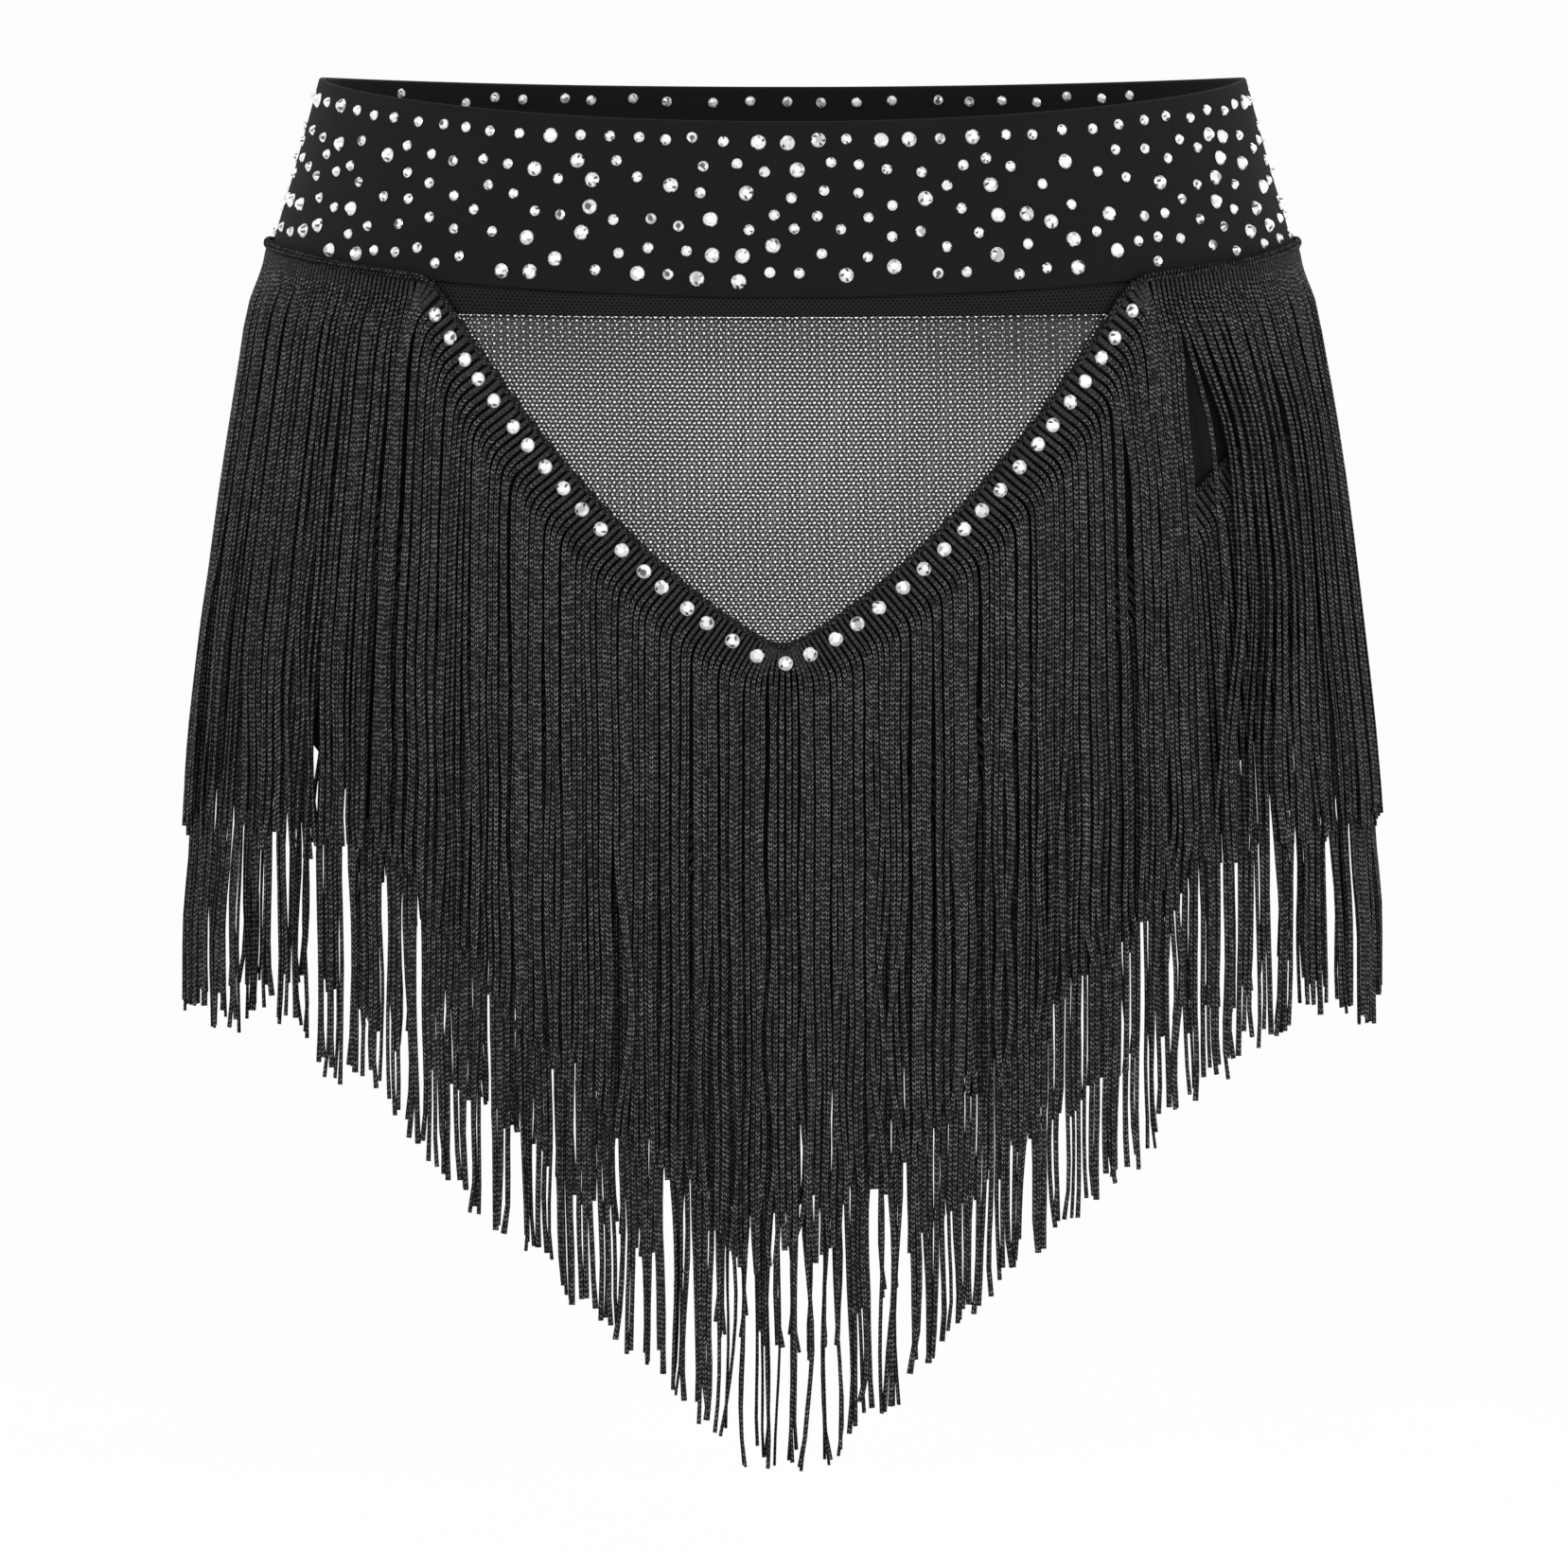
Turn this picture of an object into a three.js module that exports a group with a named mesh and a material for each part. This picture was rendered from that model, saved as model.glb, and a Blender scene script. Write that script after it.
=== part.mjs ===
// Latin dance shorts: a waistband, sheer V insets, four shorts panels and two tiers of cord fringe.
// Millimetres, +Z up, the front faces -Y. The origin is the middle of the waist, half way up the
// waistband at the side seams. Every wall lies on one surface, an ellipse at each height.

import * as THREE from "three";

// Body surface: the outside of the cloth, as half widths and half depths at each height.
const SURFACE = [
  { z: 30, width: 144.8, front: 100, back: 100 },
  { z: 0, width: 153, front: 105, back: 106 },
  { z: -28, width: 161, front: 109, back: 111 },
  { z: -60, width: 166, front: 111, back: 116 },
  { z: -105, width: 173, front: 113, back: 121 },
  { z: -150, width: 179, front: 114, back: 124 },
  { z: -190, width: 183.5, front: 114, back: 124 },
  { z: -215, width: 185, front: 114, back: 123 },
  { z: -460, width: 185, front: 114, back: 123 },
];

// Waistband: a doubled knit band whose edges dip at centre front and centre back.
const BAND_TOP = 26.2;
const BAND_BOTTOM = -27.3;
const BAND_WALL = 2;
const BAND_DIP = { front: 11.5, back: 5 };
const DIP_POWER = 1.5;

// Cloth walls and seams.
const KNIT_WALL = 1.3;
const MESH_WALL = 1;
const BINDING_WALL = 1.6;
const SEAM = 0.3;
const MESH_TOP = { front: -45, back: -40 };
// The angle by which a piece stops short of a side seam.
const HALF_DEPTH = 110;
const SIDE_ANGLE = SEAM / 2 / HALF_DEPTH;

// V insets: height of the tip of the seam, how much it rises for each mm across, and how much
// it steepens towards the sides.
const V_SEAM = {
  front: { tip: -146.6, rise: 0.56, curve: 0.00467 },
  back: { tip: -174.6, rise: 0.8, curve: 0.0018 },
};
const MESH_TIP_HALF = 2;

// Shorts: where the crotch curve starts, its lowest point, and the leg hem at side and inseam.
const FORK_START = -185;
const CROTCH = -246;
const HEM_SIDE = -165;
const HEM_INSEAM = -258;
// How far round from the side seam the hem starts to fall, as a share of the way in.
const HEM_LEVEL = 0.15;
// Where a leg begins to turn in from the body surface, as a share of the half width.
const LEG_TURN = 0.42;

// Fringe tape: the header lines of both tiers, the cut length and the lock sizes.
const TAPE_WIDTH = 10;
const TAPE_WALL = 1.8;
const TAPE_LIFT = 0.4;
const TAPE_STEPS = 600;
const FRINGE_LENGTH = 185;
const LENGTH_SPREAD = 11;
const LOCKS = 54;
const LOCK_SHARE = 0.7;
const CORNER_ROUND = 20;
const TIP_ROUND = 3;
const HEADER = {
  upper: {
    front: { flat: null, tip: -144.96, rise: 0.56, curve: 0.00467 },
    back: { flat: null, tip: -172.25, rise: 0.8, curve: 0.0018 },
  },
  lower: {
    front: { flat: -84.5, tip: -216.4, rise: 0.95, curve: 0 },
    back: { flat: -84.5, tip: -216.4, rise: 0.95, curve: 0 },
  },
};
const BAND_OVERLAP = 2;

// How far below the header a lock has its rings, as shares of its fall, and how far out it lies.
const LOCK_RINGS = {
  upper: [
    { share: 0.12, out: 3.9 },
    { share: 0.4, out: 3.9 },
    { share: 0.7, out: 3.9 },
    { share: 1, out: 3.9 },
  ],
  lower: [
    { share: 0.33, out: 1.2 },
    { share: 0.66, out: 1.2 },
    { share: 1, out: 1.2 },
  ],
};
const LOCK_THICK = 1.6;
// Cords spread with the hips near the side seams and hang straight near the centre.
const SPREAD_FROM = 0.35;
const SPREAD_FULL = 0.95;

// How finely each wall is divided, across and down.
const GRID = {
  band: { across: 30, down: 3 },
  binding: { across: 20, down: 1 },
  mesh: { across: 16, down: 7 },
  panel: { underBand: 6, underInset: 9, down: 9 },
};

const FINISH = {
  knit: { color: 0x17171a, roughness: 0.9 },
  mesh: { color: 0x3a3a3c, roughness: 0.8 },
  binding: { color: 0x1c1c1e, roughness: 0.85 },
  cord: { color: 0x222224, roughness: 0.75 },
};

// Small steps for slopes, and rounds for a height that depends on the width at that height.
const PROBE = 1e-3;
const ROUNDS = 20;

const smooth = (low, high, value) => THREE.MathUtils.smoothstep(value, low, high);
const mix = THREE.MathUtils.lerp;

// A column of the surface table at a height, on a smooth curve through its rows.
function sizeAt(z, column) {
  const rows = SURFACE;
  let i = 0;
  while (i < rows.length - 2 && z < rows[i + 1].z) {
    i += 1;
  }
  const slope = (k) => {
    const from = rows[Math.max(k - 1, 0)];
    const to = rows[Math.min(k + 1, rows.length - 1)];
    return (to[column] - from[column]) / (to.z - from.z);
  };
  const top = rows[i];
  const low = rows[i + 1];
  const drop = low.z - top.z;
  const t = THREE.MathUtils.clamp((z - top.z) / drop, 0, 1);
  const t2 = t * t;
  const t3 = t2 * t;
  return (
    (2 * t3 - 3 * t2 + 1) * top[column] +
    (t3 - 2 * t2 + t) * drop * slope(i) +
    (3 * t2 - 2 * t3) * low[column] +
    (t3 - t2) * drop * (i + 2 < rows.length ? slope(i + 1) : 0)
  );
}

// A point on the surface. Angle 0 is the side seam at +X, 90 degrees the centre, 180 the side at -X.
function onSurface(face, angle, z, out = 0) {
  const sign = face === "front" ? -1 : 1;
  return new THREE.Vector3(
    (sizeAt(z, "width") + out) * Math.cos(angle),
    sign * (sizeAt(z, face) + out) * Math.sin(angle),
    z,
  );
}

// A closed wall from a grid of outer points and a matching grid of inner points.
function wallGeometry(outer, inner) {
  const rows = outer.length;
  const columns = outer[0].length;
  const points = [...outer.flat(), ...inner.flat()];
  const index = [];
  const at = (side, r, c) => side * rows * columns + r * columns + c;
  const quad = (a, b, c, d) => index.push(a, b, c, a, c, d);
  for (let r = 0; r < rows - 1; r += 1) {
    for (let c = 0; c < columns - 1; c += 1) {
      quad(at(0, r, c), at(0, r + 1, c), at(0, r + 1, c + 1), at(0, r, c + 1));
      quad(at(1, r, c), at(1, r, c + 1), at(1, r + 1, c + 1), at(1, r + 1, c));
    }
  }
  for (let c = 0; c < columns - 1; c += 1) {
    quad(at(0, 0, c), at(0, 0, c + 1), at(1, 0, c + 1), at(1, 0, c));
    quad(at(0, rows - 1, c + 1), at(0, rows - 1, c), at(1, rows - 1, c), at(1, rows - 1, c + 1));
  }
  for (let r = 0; r < rows - 1; r += 1) {
    quad(at(0, r + 1, 0), at(0, r, 0), at(1, r, 0), at(1, r + 1, 0));
    quad(at(0, r, columns - 1), at(0, r + 1, columns - 1), at(1, r + 1, columns - 1), at(1, r, columns - 1));
  }
  return closed(points, index);
}

// Geometry from points and triangles, turned right side out.
function closed(points, index) {
  const volume = index.reduce((sum, _, k) => {
    if (k % 3) {
      return sum;
    }
    const [a, b, c] = [points[index[k]], points[index[k + 1]], points[index[k + 2]]];
    return sum + new THREE.Vector3().crossVectors(b, c).dot(a);
  }, 0);
  const facing = volume < 0 ? index.slice().reverse() : index;
  const geometry = new THREE.BufferGeometry().setFromPoints(points);
  geometry.setIndex(facing);
  geometry.computeVertexNormals();
  return geometry;
}

// The direction square to a surface that is given by two parameters.
function squareTo(place, u, v) {
  const across = place(Math.min(u + PROBE, 1), v).sub(place(Math.max(u - PROBE, 0), v));
  const down = place(u, Math.min(v + PROBE, 1)).sub(place(u, Math.max(v - PROBE, 0)));
  return across.cross(down).normalize();
}

// A cloth wall over such a surface, its inner face a wall's thickness towards the body.
function cloth(place, columns, rows, thick) {
  const middle = place(0.3, 0.3);
  const outward = squareTo(place, 0.3, 0.3).dot(middle.setZ(0)) > 0 ? 1 : -1;
  const outer = [];
  const inner = [];
  for (const v of rows) {
    const outerRow = [];
    const innerRow = [];
    for (const u of columns) {
      const here = place(u, v);
      outerRow.push(here);
      innerRow.push(here.clone().addScaledVector(squareTo(place, u, v), -thick * outward));
    }
    outer.push(outerRow);
    inner.push(innerRow);
  }
  return wallGeometry(outer, inner);
}

const evenly = (count) => Array.from({ length: count + 1 }, (_, i) => i / count);

function part(name, geometry, finish) {
  const mesh = new THREE.Mesh(geometry, new THREE.MeshStandardMaterial({ ...finish, metalness: 0 }));
  mesh.name = name;
  return mesh;
}

// Heights of the band's edges round the waist.
const dip = (face, angle) => BAND_DIP[face] * Math.sin(angle) ** DIP_POWER;
const bandTop = (face, angle) => BAND_TOP - dip(face, angle);
const bandBottom = (face, angle) => BAND_BOTTOM - dip(face, angle);

function waistband(face) {
  const place = (u, v) => {
    const angle = mix(SIDE_ANGLE, Math.PI - SIDE_ANGLE, u);
    const z = mix(bandTop(face, angle), bandBottom(face, angle), v);
    return onSurface(face, angle, z);
  };
  const wall = cloth(place, evenly(GRID.band.across), evenly(GRID.band.down), BAND_WALL);
  return part(`waistband_${face}`, wall, FINISH.knit);
}

// Height of a V seam at a distance across from the centre.
const vHeight = ({ tip, rise, curve }, across) => tip + rise * across + curve * across ** 2;

// Half the distance across a V inset at a height.
function vHalf({ tip, rise, curve }, z) {
  return (Math.sqrt(rise ** 2 + 4 * curve * (z - tip)) - rise) / (2 * curve);
}

// The span of angles between the two V seams at a height.
function vSpan(face, z, inset) {
  const half = vHalf(V_SEAM[face], z) - inset;
  const start = Math.acos(half / sizeAt(z, "width"));
  return [start, Math.PI - start];
}

function meshInset(face) {
  const low = vHeight(V_SEAM[face], MESH_TIP_HALF);
  const place = (u, v) => {
    const z = mix(MESH_TOP[face] - SEAM / 2, low, v);
    const [start, end] = vSpan(face, z, SEAM);
    return onSurface(face, mix(start, end, u), z);
  };
  const wall = cloth(place, evenly(GRID.mesh.across), evenly(GRID.mesh.down), MESH_WALL);
  return part(`mesh_inset_${face}`, wall, FINISH.mesh);
}

// The turned edge of the mesh, a denser strip between the band and the sheer part.
function meshBinding(face) {
  const place = (u, v) => {
    const low = MESH_TOP[face] + SEAM / 2;
    const [start, end] = vSpan(face, low, SEAM);
    const angle = mix(start, end, u);
    const z = mix(bandBottom(face, angle) - SEAM, low, v);
    const [from, to] = vSpan(face, z, SEAM);
    return onSurface(face, mix(from, to, u), z);
  };
  const wall = cloth(place, evenly(GRID.binding.across), evenly(GRID.binding.down), BINDING_WALL);
  return part(`mesh_binding_${face}`, wall, FINISH.binding);
}

// How far the two legs have parted at a height, from 0 above the fork to 1 at the crotch.
const parted = (z) => THREE.MathUtils.clamp((FORK_START - z) / (FORK_START - CROTCH), 0, 1);

// Height of the upper edge of a shorts panel: under the band, then down the V seam.
function panelTop(face, angle) {
  const underBand = bandBottom(face, angle) - SEAM;
  let z = underBand;
  for (let i = 0; i < ROUNDS; i += 1) {
    z = vHeight(V_SEAM[face], sizeAt(z, "width") * Math.cos(angle));
  }
  return Math.min(underBand, z);
}

// The angle at which the V seam meets the band.
function vCorner(face) {
  let low = 0;
  let high = Math.PI / 2;
  for (let i = 0; i < 2 * ROUNDS; i += 1) {
    const middle = (low + high) / 2;
    const onSeam = panelTop(face, middle) < bandBottom(face, middle) - SEAM;
    [low, high] = onSeam ? [low, middle] : [middle, high];
  }
  return low;
}

// A panel follows the body surface at the side. Below the fork its inner part turns in round the leg.
function shortsPanel(face, side) {
  const turnAngle = Math.acos(LEG_TURN);
  const turnAt = (turnAngle - SIDE_ANGLE) / (Math.PI / 2 - SIDE_ANGLE);
  const place = (u, v) => {
    const angle = mix(SIDE_ANGLE, Math.PI / 2, u);
    const fall = smooth(HEM_LEVEL, 1, Math.sin((u * Math.PI) / 2) ** 2);
    const z = mix(panelTop(face, angle), mix(HEM_SIDE, HEM_INSEAM, fall), v);
    const width = sizeAt(z, "width");
    const leg = parted(z);
    const inner = Math.max(0, (u - turnAt) / (1 - turnAt));
    const turn = u < turnAt ? 0 : mix(1 - Math.cos(angle) / LEG_TURN, Math.sin((inner * Math.PI) / 2), leg);
    const x = u < turnAt ? width * Math.cos(angle) : mix(LEG_TURN * width, SEAM / 2, turn);
    const depth = sizeAt(z, face) * Math.sqrt(1 - (x / width) ** 2) * Math.sqrt(1 - (leg * turn) ** 2);
    return new THREE.Vector3(side * x, Math.max(depth, SEAM / 2) * (face === "front" ? -1 : 1), z);
  };
  const corner = vCorner(face) / (Math.PI / 2);
  const columns = [
    ...evenly(GRID.panel.underBand).map((t) => t * corner),
    ...evenly(GRID.panel.underInset).slice(1).map((t) => mix(corner, 1, t)),
  ];
  const name = `shorts_${face}_${side > 0 ? "left" : "right"}`;
  return part(name, cloth(place, columns, evenly(GRID.panel.down), KNIT_WALL), FINISH.knit);
}

// Height of the header line of a fringe tier, flat at the sides and a rounded V in the middle.
function headerLine(tier, face, angle) {
  const line = HEADER[tier][face];
  const flat = line.flat ?? bandBottom(face, angle) + BAND_OVERLAP * Math.cos(angle) ** 2;
  let z = flat;
  for (let i = 0; i < ROUNDS; i += 1) {
    const across = sizeAt(z, "width") * Math.cos(angle);
    z = line.tip + line.rise * (Math.hypot(across, TIP_ROUND) - TIP_ROUND) + line.curve * across ** 2;
  }
  const share = THREE.MathUtils.clamp(0.5 + (z - flat) / (2 * CORNER_ROUND), 0, 1);
  return mix(z, flat, share) - CORNER_ROUND * share * (1 - share);
}

// The place square below a point of the header line, at the tape's lower edge.
function belowHeader(tier, face, angle) {
  const [a, b] = [angle - PROBE, angle + PROBE].map((at) =>
    onSurface(face, at, headerLine(tier, face, at)),
  );
  const run = Math.hypot(b.x - a.x, b.y - a.y);
  const tilt = Math.atan2(b.z - a.z, run);
  const low = angle + TAPE_WIDTH * Math.sin(tilt) * ((2 * PROBE) / run);
  return {
    angle: THREE.MathUtils.clamp(low, 2 * SIDE_ANGLE, Math.PI - 2 * SIDE_ANGLE),
    z: headerLine(tier, face, angle) - TAPE_WIDTH * Math.cos(tilt),
  };
}

// Places along the tape at equal steps of its lower edge, each with the place square below it.
function tapePlaces(tier, face, shares) {
  const trail = evenly(TAPE_STEPS).map((t) => {
    const angle = mix(2 * SIDE_ANGLE, Math.PI - 2 * SIDE_ANGLE, t);
    const low = belowHeader(tier, face, angle);
    return { angle, low, point: onSurface(face, low.angle, low.z), length: 0 };
  });
  for (let i = 1; i < trail.length; i += 1) {
    trail[i].length = trail[i - 1].length + trail[i].point.distanceTo(trail[i - 1].point);
  }
  const whole = trail[trail.length - 1].length;
  return shares.map((share) => {
    const along = Math.min(share * whole, whole);
    const next = Math.max(1, trail.findIndex((place) => place.length >= along));
    const [a, b] = [trail[next - 1], trail[next]];
    const angle = mix(a.angle, b.angle, (along - a.length) / (b.length - a.length));
    return { angle, z: headerLine(tier, face, angle), low: belowHeader(tier, face, angle) };
  });
}

// The angle to which a cord has moved when it has fallen from one height to another.
function hangAngle(angle, from, z) {
  const start = Math.cos(angle);
  const spread = smooth(SPREAD_FROM, SPREAD_FULL, Math.abs(start));
  const widths = sizeAt(from, "width") / sizeAt(z, "width");
  return Math.acos(THREE.MathUtils.clamp(start * mix(widths, 1, spread), -1, 1));
}

// An even scatter from -1 to 1 that is the same each time.
const scatter = (i) => 2 * THREE.MathUtils.seededRandom(i + 1) - 1;

// One tier of fringe on one face: a tape on the header line, and locks that hang from its lower edge.
function fringe(tier, face) {
  const shares = [0];
  for (let i = 0; i < LOCKS; i += 1) {
    shares.push((i + (1 - LOCK_SHARE) / 2) / LOCKS, (i + (1 + LOCK_SHARE) / 2) / LOCKS);
  }
  shares.push(1);
  const points = [];
  const index = [];
  const quad = (a, b, c, d) => index.push(a, b, c, a, c, d);
  const add = (angle, z, out) => points.push(onSurface(face, angle, z, out)) - 1;
  const columns = tapePlaces(tier, face, shares).map(({ angle, z, low }) => ({
    low,
    topOut: add(angle, z, TAPE_LIFT + TAPE_WALL),
    topIn: add(angle, z, TAPE_LIFT),
    lowOut: add(low.angle, low.z, TAPE_LIFT + TAPE_WALL),
    lowIn: add(low.angle, low.z, TAPE_LIFT),
  }));
  const first = columns[0];
  const last = columns[columns.length - 1];
  quad(first.topOut, first.topIn, first.lowIn, first.lowOut);
  quad(last.topOut, last.lowOut, last.lowIn, last.topIn);
  for (let c = 0; c < columns.length - 1; c += 1) {
    const [a, b] = [columns[c], columns[c + 1]];
    quad(a.topOut, a.lowOut, b.lowOut, b.topOut);
    quad(a.topIn, b.topIn, b.lowIn, a.lowIn);
    quad(a.topOut, b.topOut, b.topIn, a.topIn);
    if (c % 2 === 0) {
      quad(a.lowOut, a.lowIn, b.lowIn, b.lowOut);
      continue;
    }
    const lock = (c - 1) / 2;
    const longer = LENGTH_SPREAD * scatter(lock + (tier === "upper" ? 0 : LOCKS));
    const fall = FRINGE_LENGTH - TAPE_WIDTH + longer;
    let ring = [a.lowOut, b.lowOut, b.lowIn, a.lowIn];
    for (const { share, out } of LOCK_RINGS[tier]) {
      const corners = [
        [a.low, out + LOCK_THICK],
        [b.low, out + LOCK_THICK],
        [b.low, out],
        [a.low, out],
      ];
      const next = corners.map(([low, away]) => {
        const z = low.z - fall * share;
        return add(hangAngle(low.angle, low.z, z), z, away);
      });
      for (let k = 0; k < 4; k += 1) {
        const n = (k + 1) % 4;
        quad(ring[k], next[k], next[n], ring[n]);
      }
      ring = next;
    }
    quad(ring[3], ring[2], ring[1], ring[0]);
  }
  return part(`fringe_${tier}_${face}`, closed(points, index), FINISH.cord);
}

const shorts = new THREE.Group();
for (const face of ["front", "back"]) {
  shorts.add(waistband(face), meshBinding(face), meshInset(face));
  for (const side of [1, -1]) {
    shorts.add(shortsPanel(face, side));
  }
  for (const tier of ["upper", "lower"]) {
    shorts.add(fringe(tier, face));
  }
}

export default shorts;
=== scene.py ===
import math

import bmesh
import bpy
import numpy as np
from mathutils import Matrix, Vector


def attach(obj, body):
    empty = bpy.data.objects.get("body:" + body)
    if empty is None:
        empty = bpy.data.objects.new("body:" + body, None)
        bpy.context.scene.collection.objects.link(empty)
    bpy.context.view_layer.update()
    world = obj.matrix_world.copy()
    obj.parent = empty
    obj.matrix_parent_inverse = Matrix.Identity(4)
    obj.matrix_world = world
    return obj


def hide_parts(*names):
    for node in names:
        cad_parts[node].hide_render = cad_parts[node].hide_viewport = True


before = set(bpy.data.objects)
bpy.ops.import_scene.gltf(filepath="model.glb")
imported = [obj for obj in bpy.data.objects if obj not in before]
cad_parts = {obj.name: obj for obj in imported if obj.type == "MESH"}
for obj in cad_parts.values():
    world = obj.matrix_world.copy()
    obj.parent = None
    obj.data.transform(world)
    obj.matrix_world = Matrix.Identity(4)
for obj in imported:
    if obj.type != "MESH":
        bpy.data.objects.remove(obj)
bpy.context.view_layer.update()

bl_info = {
    "name": "Latin dance shorts",
    "version": (1, 0, 0),
    "blender": (4, 5, 0),
    "location": "3D View > Sidebar > Dance shorts",
    "description": "Dance shorts with a stone-set band, sheer V insets and two tiers of cord fringe",
    "category": "Object",
}

MM = 0.001
FACES = ("front", "back")
TIERS = ("upper", "lower")
# The front faces -Y.
SIGN = {"front": -1, "back": 1}

# The view: width of the frame in pixels, size of a pixel at the middle of the shorts, distance,
# how far the camera looks down, and what it looks at.
FRAME_PIXELS = 1657
PIXEL = 0.3 * MM
VIEW_DISTANCE = 3300 * MM
VIEW_DOWN = math.radians(5)
VIEW_TARGET = (0.45 * MM, 0, -197.5 * MM)
SENSOR = 36
# Name, place, width and power of each light, and the height at which all are aimed.
LIGHTS = (
    ("key_light", (-1.9, -1.8, 1.3), 1.2, 28),
    ("fill_light", (2.2, -1.5, 0.4), 1.4, 26),
    ("back_light", (0.3, 2.2, 1.3), 1.2, 14),
)
LIGHT_AIM = -0.15

# The surface that every wall of the shorts lies on
# Height, half width, half depth of the front and half depth of the back.
SURFACE = MM * np.array([
    (30, 144.8, 100, 100),
    (0, 153, 105, 106),
    (-28, 161, 109, 111),
    (-60, 166, 111, 116),
    (-105, 173, 113, 121),
    (-150, 179, 114, 124),
    (-190, 183.5, 114, 124),
    (-215, 185, 114, 123),
    (-460, 185, 114, 123),
])
COLUMN = {"width": 1, "front": 2, "back": 3}

BAND_TOP = 26.2 * MM
BAND_BOTTOM = -27.3 * MM
BAND_WALL = 2 * MM
BAND_DIP = {"front": 11.5 * MM, "back": 5 * MM}
DIP_POWER = 1.5
KNIT_WALL = 1.3 * MM
STRIP_WALL = 1.6 * MM
SEAM = 0.3 * MM
# So that no light shows through the seams, the panels run this far up into the band, and the
# net's turned edge is cut as wide as the V is this much higher up.
TUCK = 0.05 * MM
STRIP_TUCK = 1.2 * MM
MESH_TOP = {"front": -45 * MM, "back": -40 * MM}
# How far the net lies behind the face of the cloth, and how much further under its turned edge.
NET_BACK = (0.4 * MM, 1.7 * MM)
# The same of the turned edge, and how much further under the band.
STRIP_BACK = (0.3 * MM, 1.9 * MM)
# The V lines: height of the tip, rise for each metre across, and how much steeper for each metre.
V_LINE = {"front": (-146.6 * MM, 0.56, 4.67), "back": (-174.6 * MM, 0.8, 1.8)}
# The cloth is seamed this far below the upper edge of the fringe tape, out of sight.
UNDER_TAPE = 2.5 * MM
FORK_START = -185 * MM
CROTCH = -246 * MM
HEM_SIDE = -165 * MM
HEM_INSEAM = -258 * MM
HEM_LEVEL = 0.15
LEG_TURN = 0.42

# The tape that the cords are sewn to: where it starts below the header line, its width, and how
# far out its two faces lie.
TAPE_START = 0.4 * MM
TAPE_WIDTH = 10 * MM
TAPE_FACES = (1.0 * MM, 0.4 * MM)
CORNER_ROUND = 6 * MM
TIP_ROUND = 3 * MM
# Height of the flat part of the lower tape, and its V line.
LOWER_FLAT = -84.5 * MM
LOWER_LINE = (-222 * MM, 0.97, 0.0)
BAND_OVERLAP = 2 * MM
# Tapes and cords stop this far short of a side seam.
EDGE_ANGLE = 0.002
# From this share of the half width outwards the falling cords follow the hips, then wholly.
SPREAD_FROM = 0.35
SPREAD_FULL = 0.95
# Rounds in which a height that depends on the width at that height settles.
ROUNDS = 20


def ease(low, high, value):
    """A smooth step from 0 at low to 1 at high."""
    t = np.clip((np.asarray(value, float) - low) / (high - low), 0, 1)
    return t * t * (3 - 2 * t)


def mix(a, b, share):
    return a + (b - a) * share


def unit(vectors):
    return vectors / np.linalg.norm(vectors, axis=-1, keepdims=True)


def running(steps):
    """The running total of each row of steps, from 0."""
    return np.concatenate([np.zeros((*steps.shape[:-1], 1)), np.cumsum(steps, axis=-1)], axis=-1)


def run_along(points):
    """How far along its row each point lies."""
    return running(np.linalg.norm(np.diff(points, axis=-2), axis=-1))


def evenly(first, last, pitch):
    """Places about a pitch apart, from half a pitch after the first to half before the last."""
    count = int((last - first) / pitch)
    return first + (np.arange(count) + 0.5) / count * (last - first)


def size_at(z, column):
    """Half width or half depth of the surface at a height, on a smooth curve through its rows."""
    z = np.asarray(z, float)
    heights = SURFACE[:, 0]
    sizes = SURFACE[:, COLUMN[column]]
    last = len(heights) - 1
    before = np.maximum(np.arange(last + 1) - 1, 0)
    after = np.minimum(np.arange(last + 1) + 1, last)
    slopes = (sizes[after] - sizes[before]) / (heights[after] - heights[before])
    slopes[last] = 0
    i = np.clip(np.searchsorted(-heights, -z, side="left") - 1, 0, last - 1)
    drop = heights[i + 1] - heights[i]
    t = np.clip((z - heights[i]) / drop, 0, 1)
    t2, t3 = t * t, t * t * t
    return (
        (2 * t3 - 3 * t2 + 1) * sizes[i]
        + (t3 - 2 * t2 + t) * drop * slopes[i]
        + (3 * t2 - 2 * t3) * sizes[i + 1]
        + (t3 - t2) * drop * slopes[i + 1]
    )


def on_surface(face, angle, z, out=0.0):
    """Points on the surface. Angle 0 is the side seam at +X, 90 degrees the centre."""
    angle, z, out = np.broadcast_arrays(angle, z, out)
    x = (size_at(z, "width") + out) * np.cos(angle)
    y = SIGN[face] * (size_at(z, face) + out) * np.sin(angle)
    return np.stack([x, y, z], axis=-1)


def stretch(face, angle, z):
    """Metres along the surface for each radian of angle."""
    return np.hypot(size_at(z, "width") * np.sin(angle), size_at(z, face) * np.cos(angle))


def outward(face, angle, z):
    """The level direction square to the surface."""
    x = np.cos(angle) / size_at(z, "width")
    y = SIGN[face] * np.sin(angle) / size_at(z, face)
    return unit(np.stack(np.broadcast_arrays(x, y, 0 * x), axis=-1))


def band_dip(face, angle):
    return BAND_DIP[face] * np.sin(angle) ** DIP_POWER


def band_top(face, angle):
    return BAND_TOP - band_dip(face, angle)


def band_bottom(face, angle):
    return BAND_BOTTOM - band_dip(face, angle)


def v_height(line, across, tip_round=0.0):
    """Height of a V line at a distance across from the centre."""
    tip, rise, curve = line
    return tip + rise * np.hypot(across, tip_round) + curve * across ** 2


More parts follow.
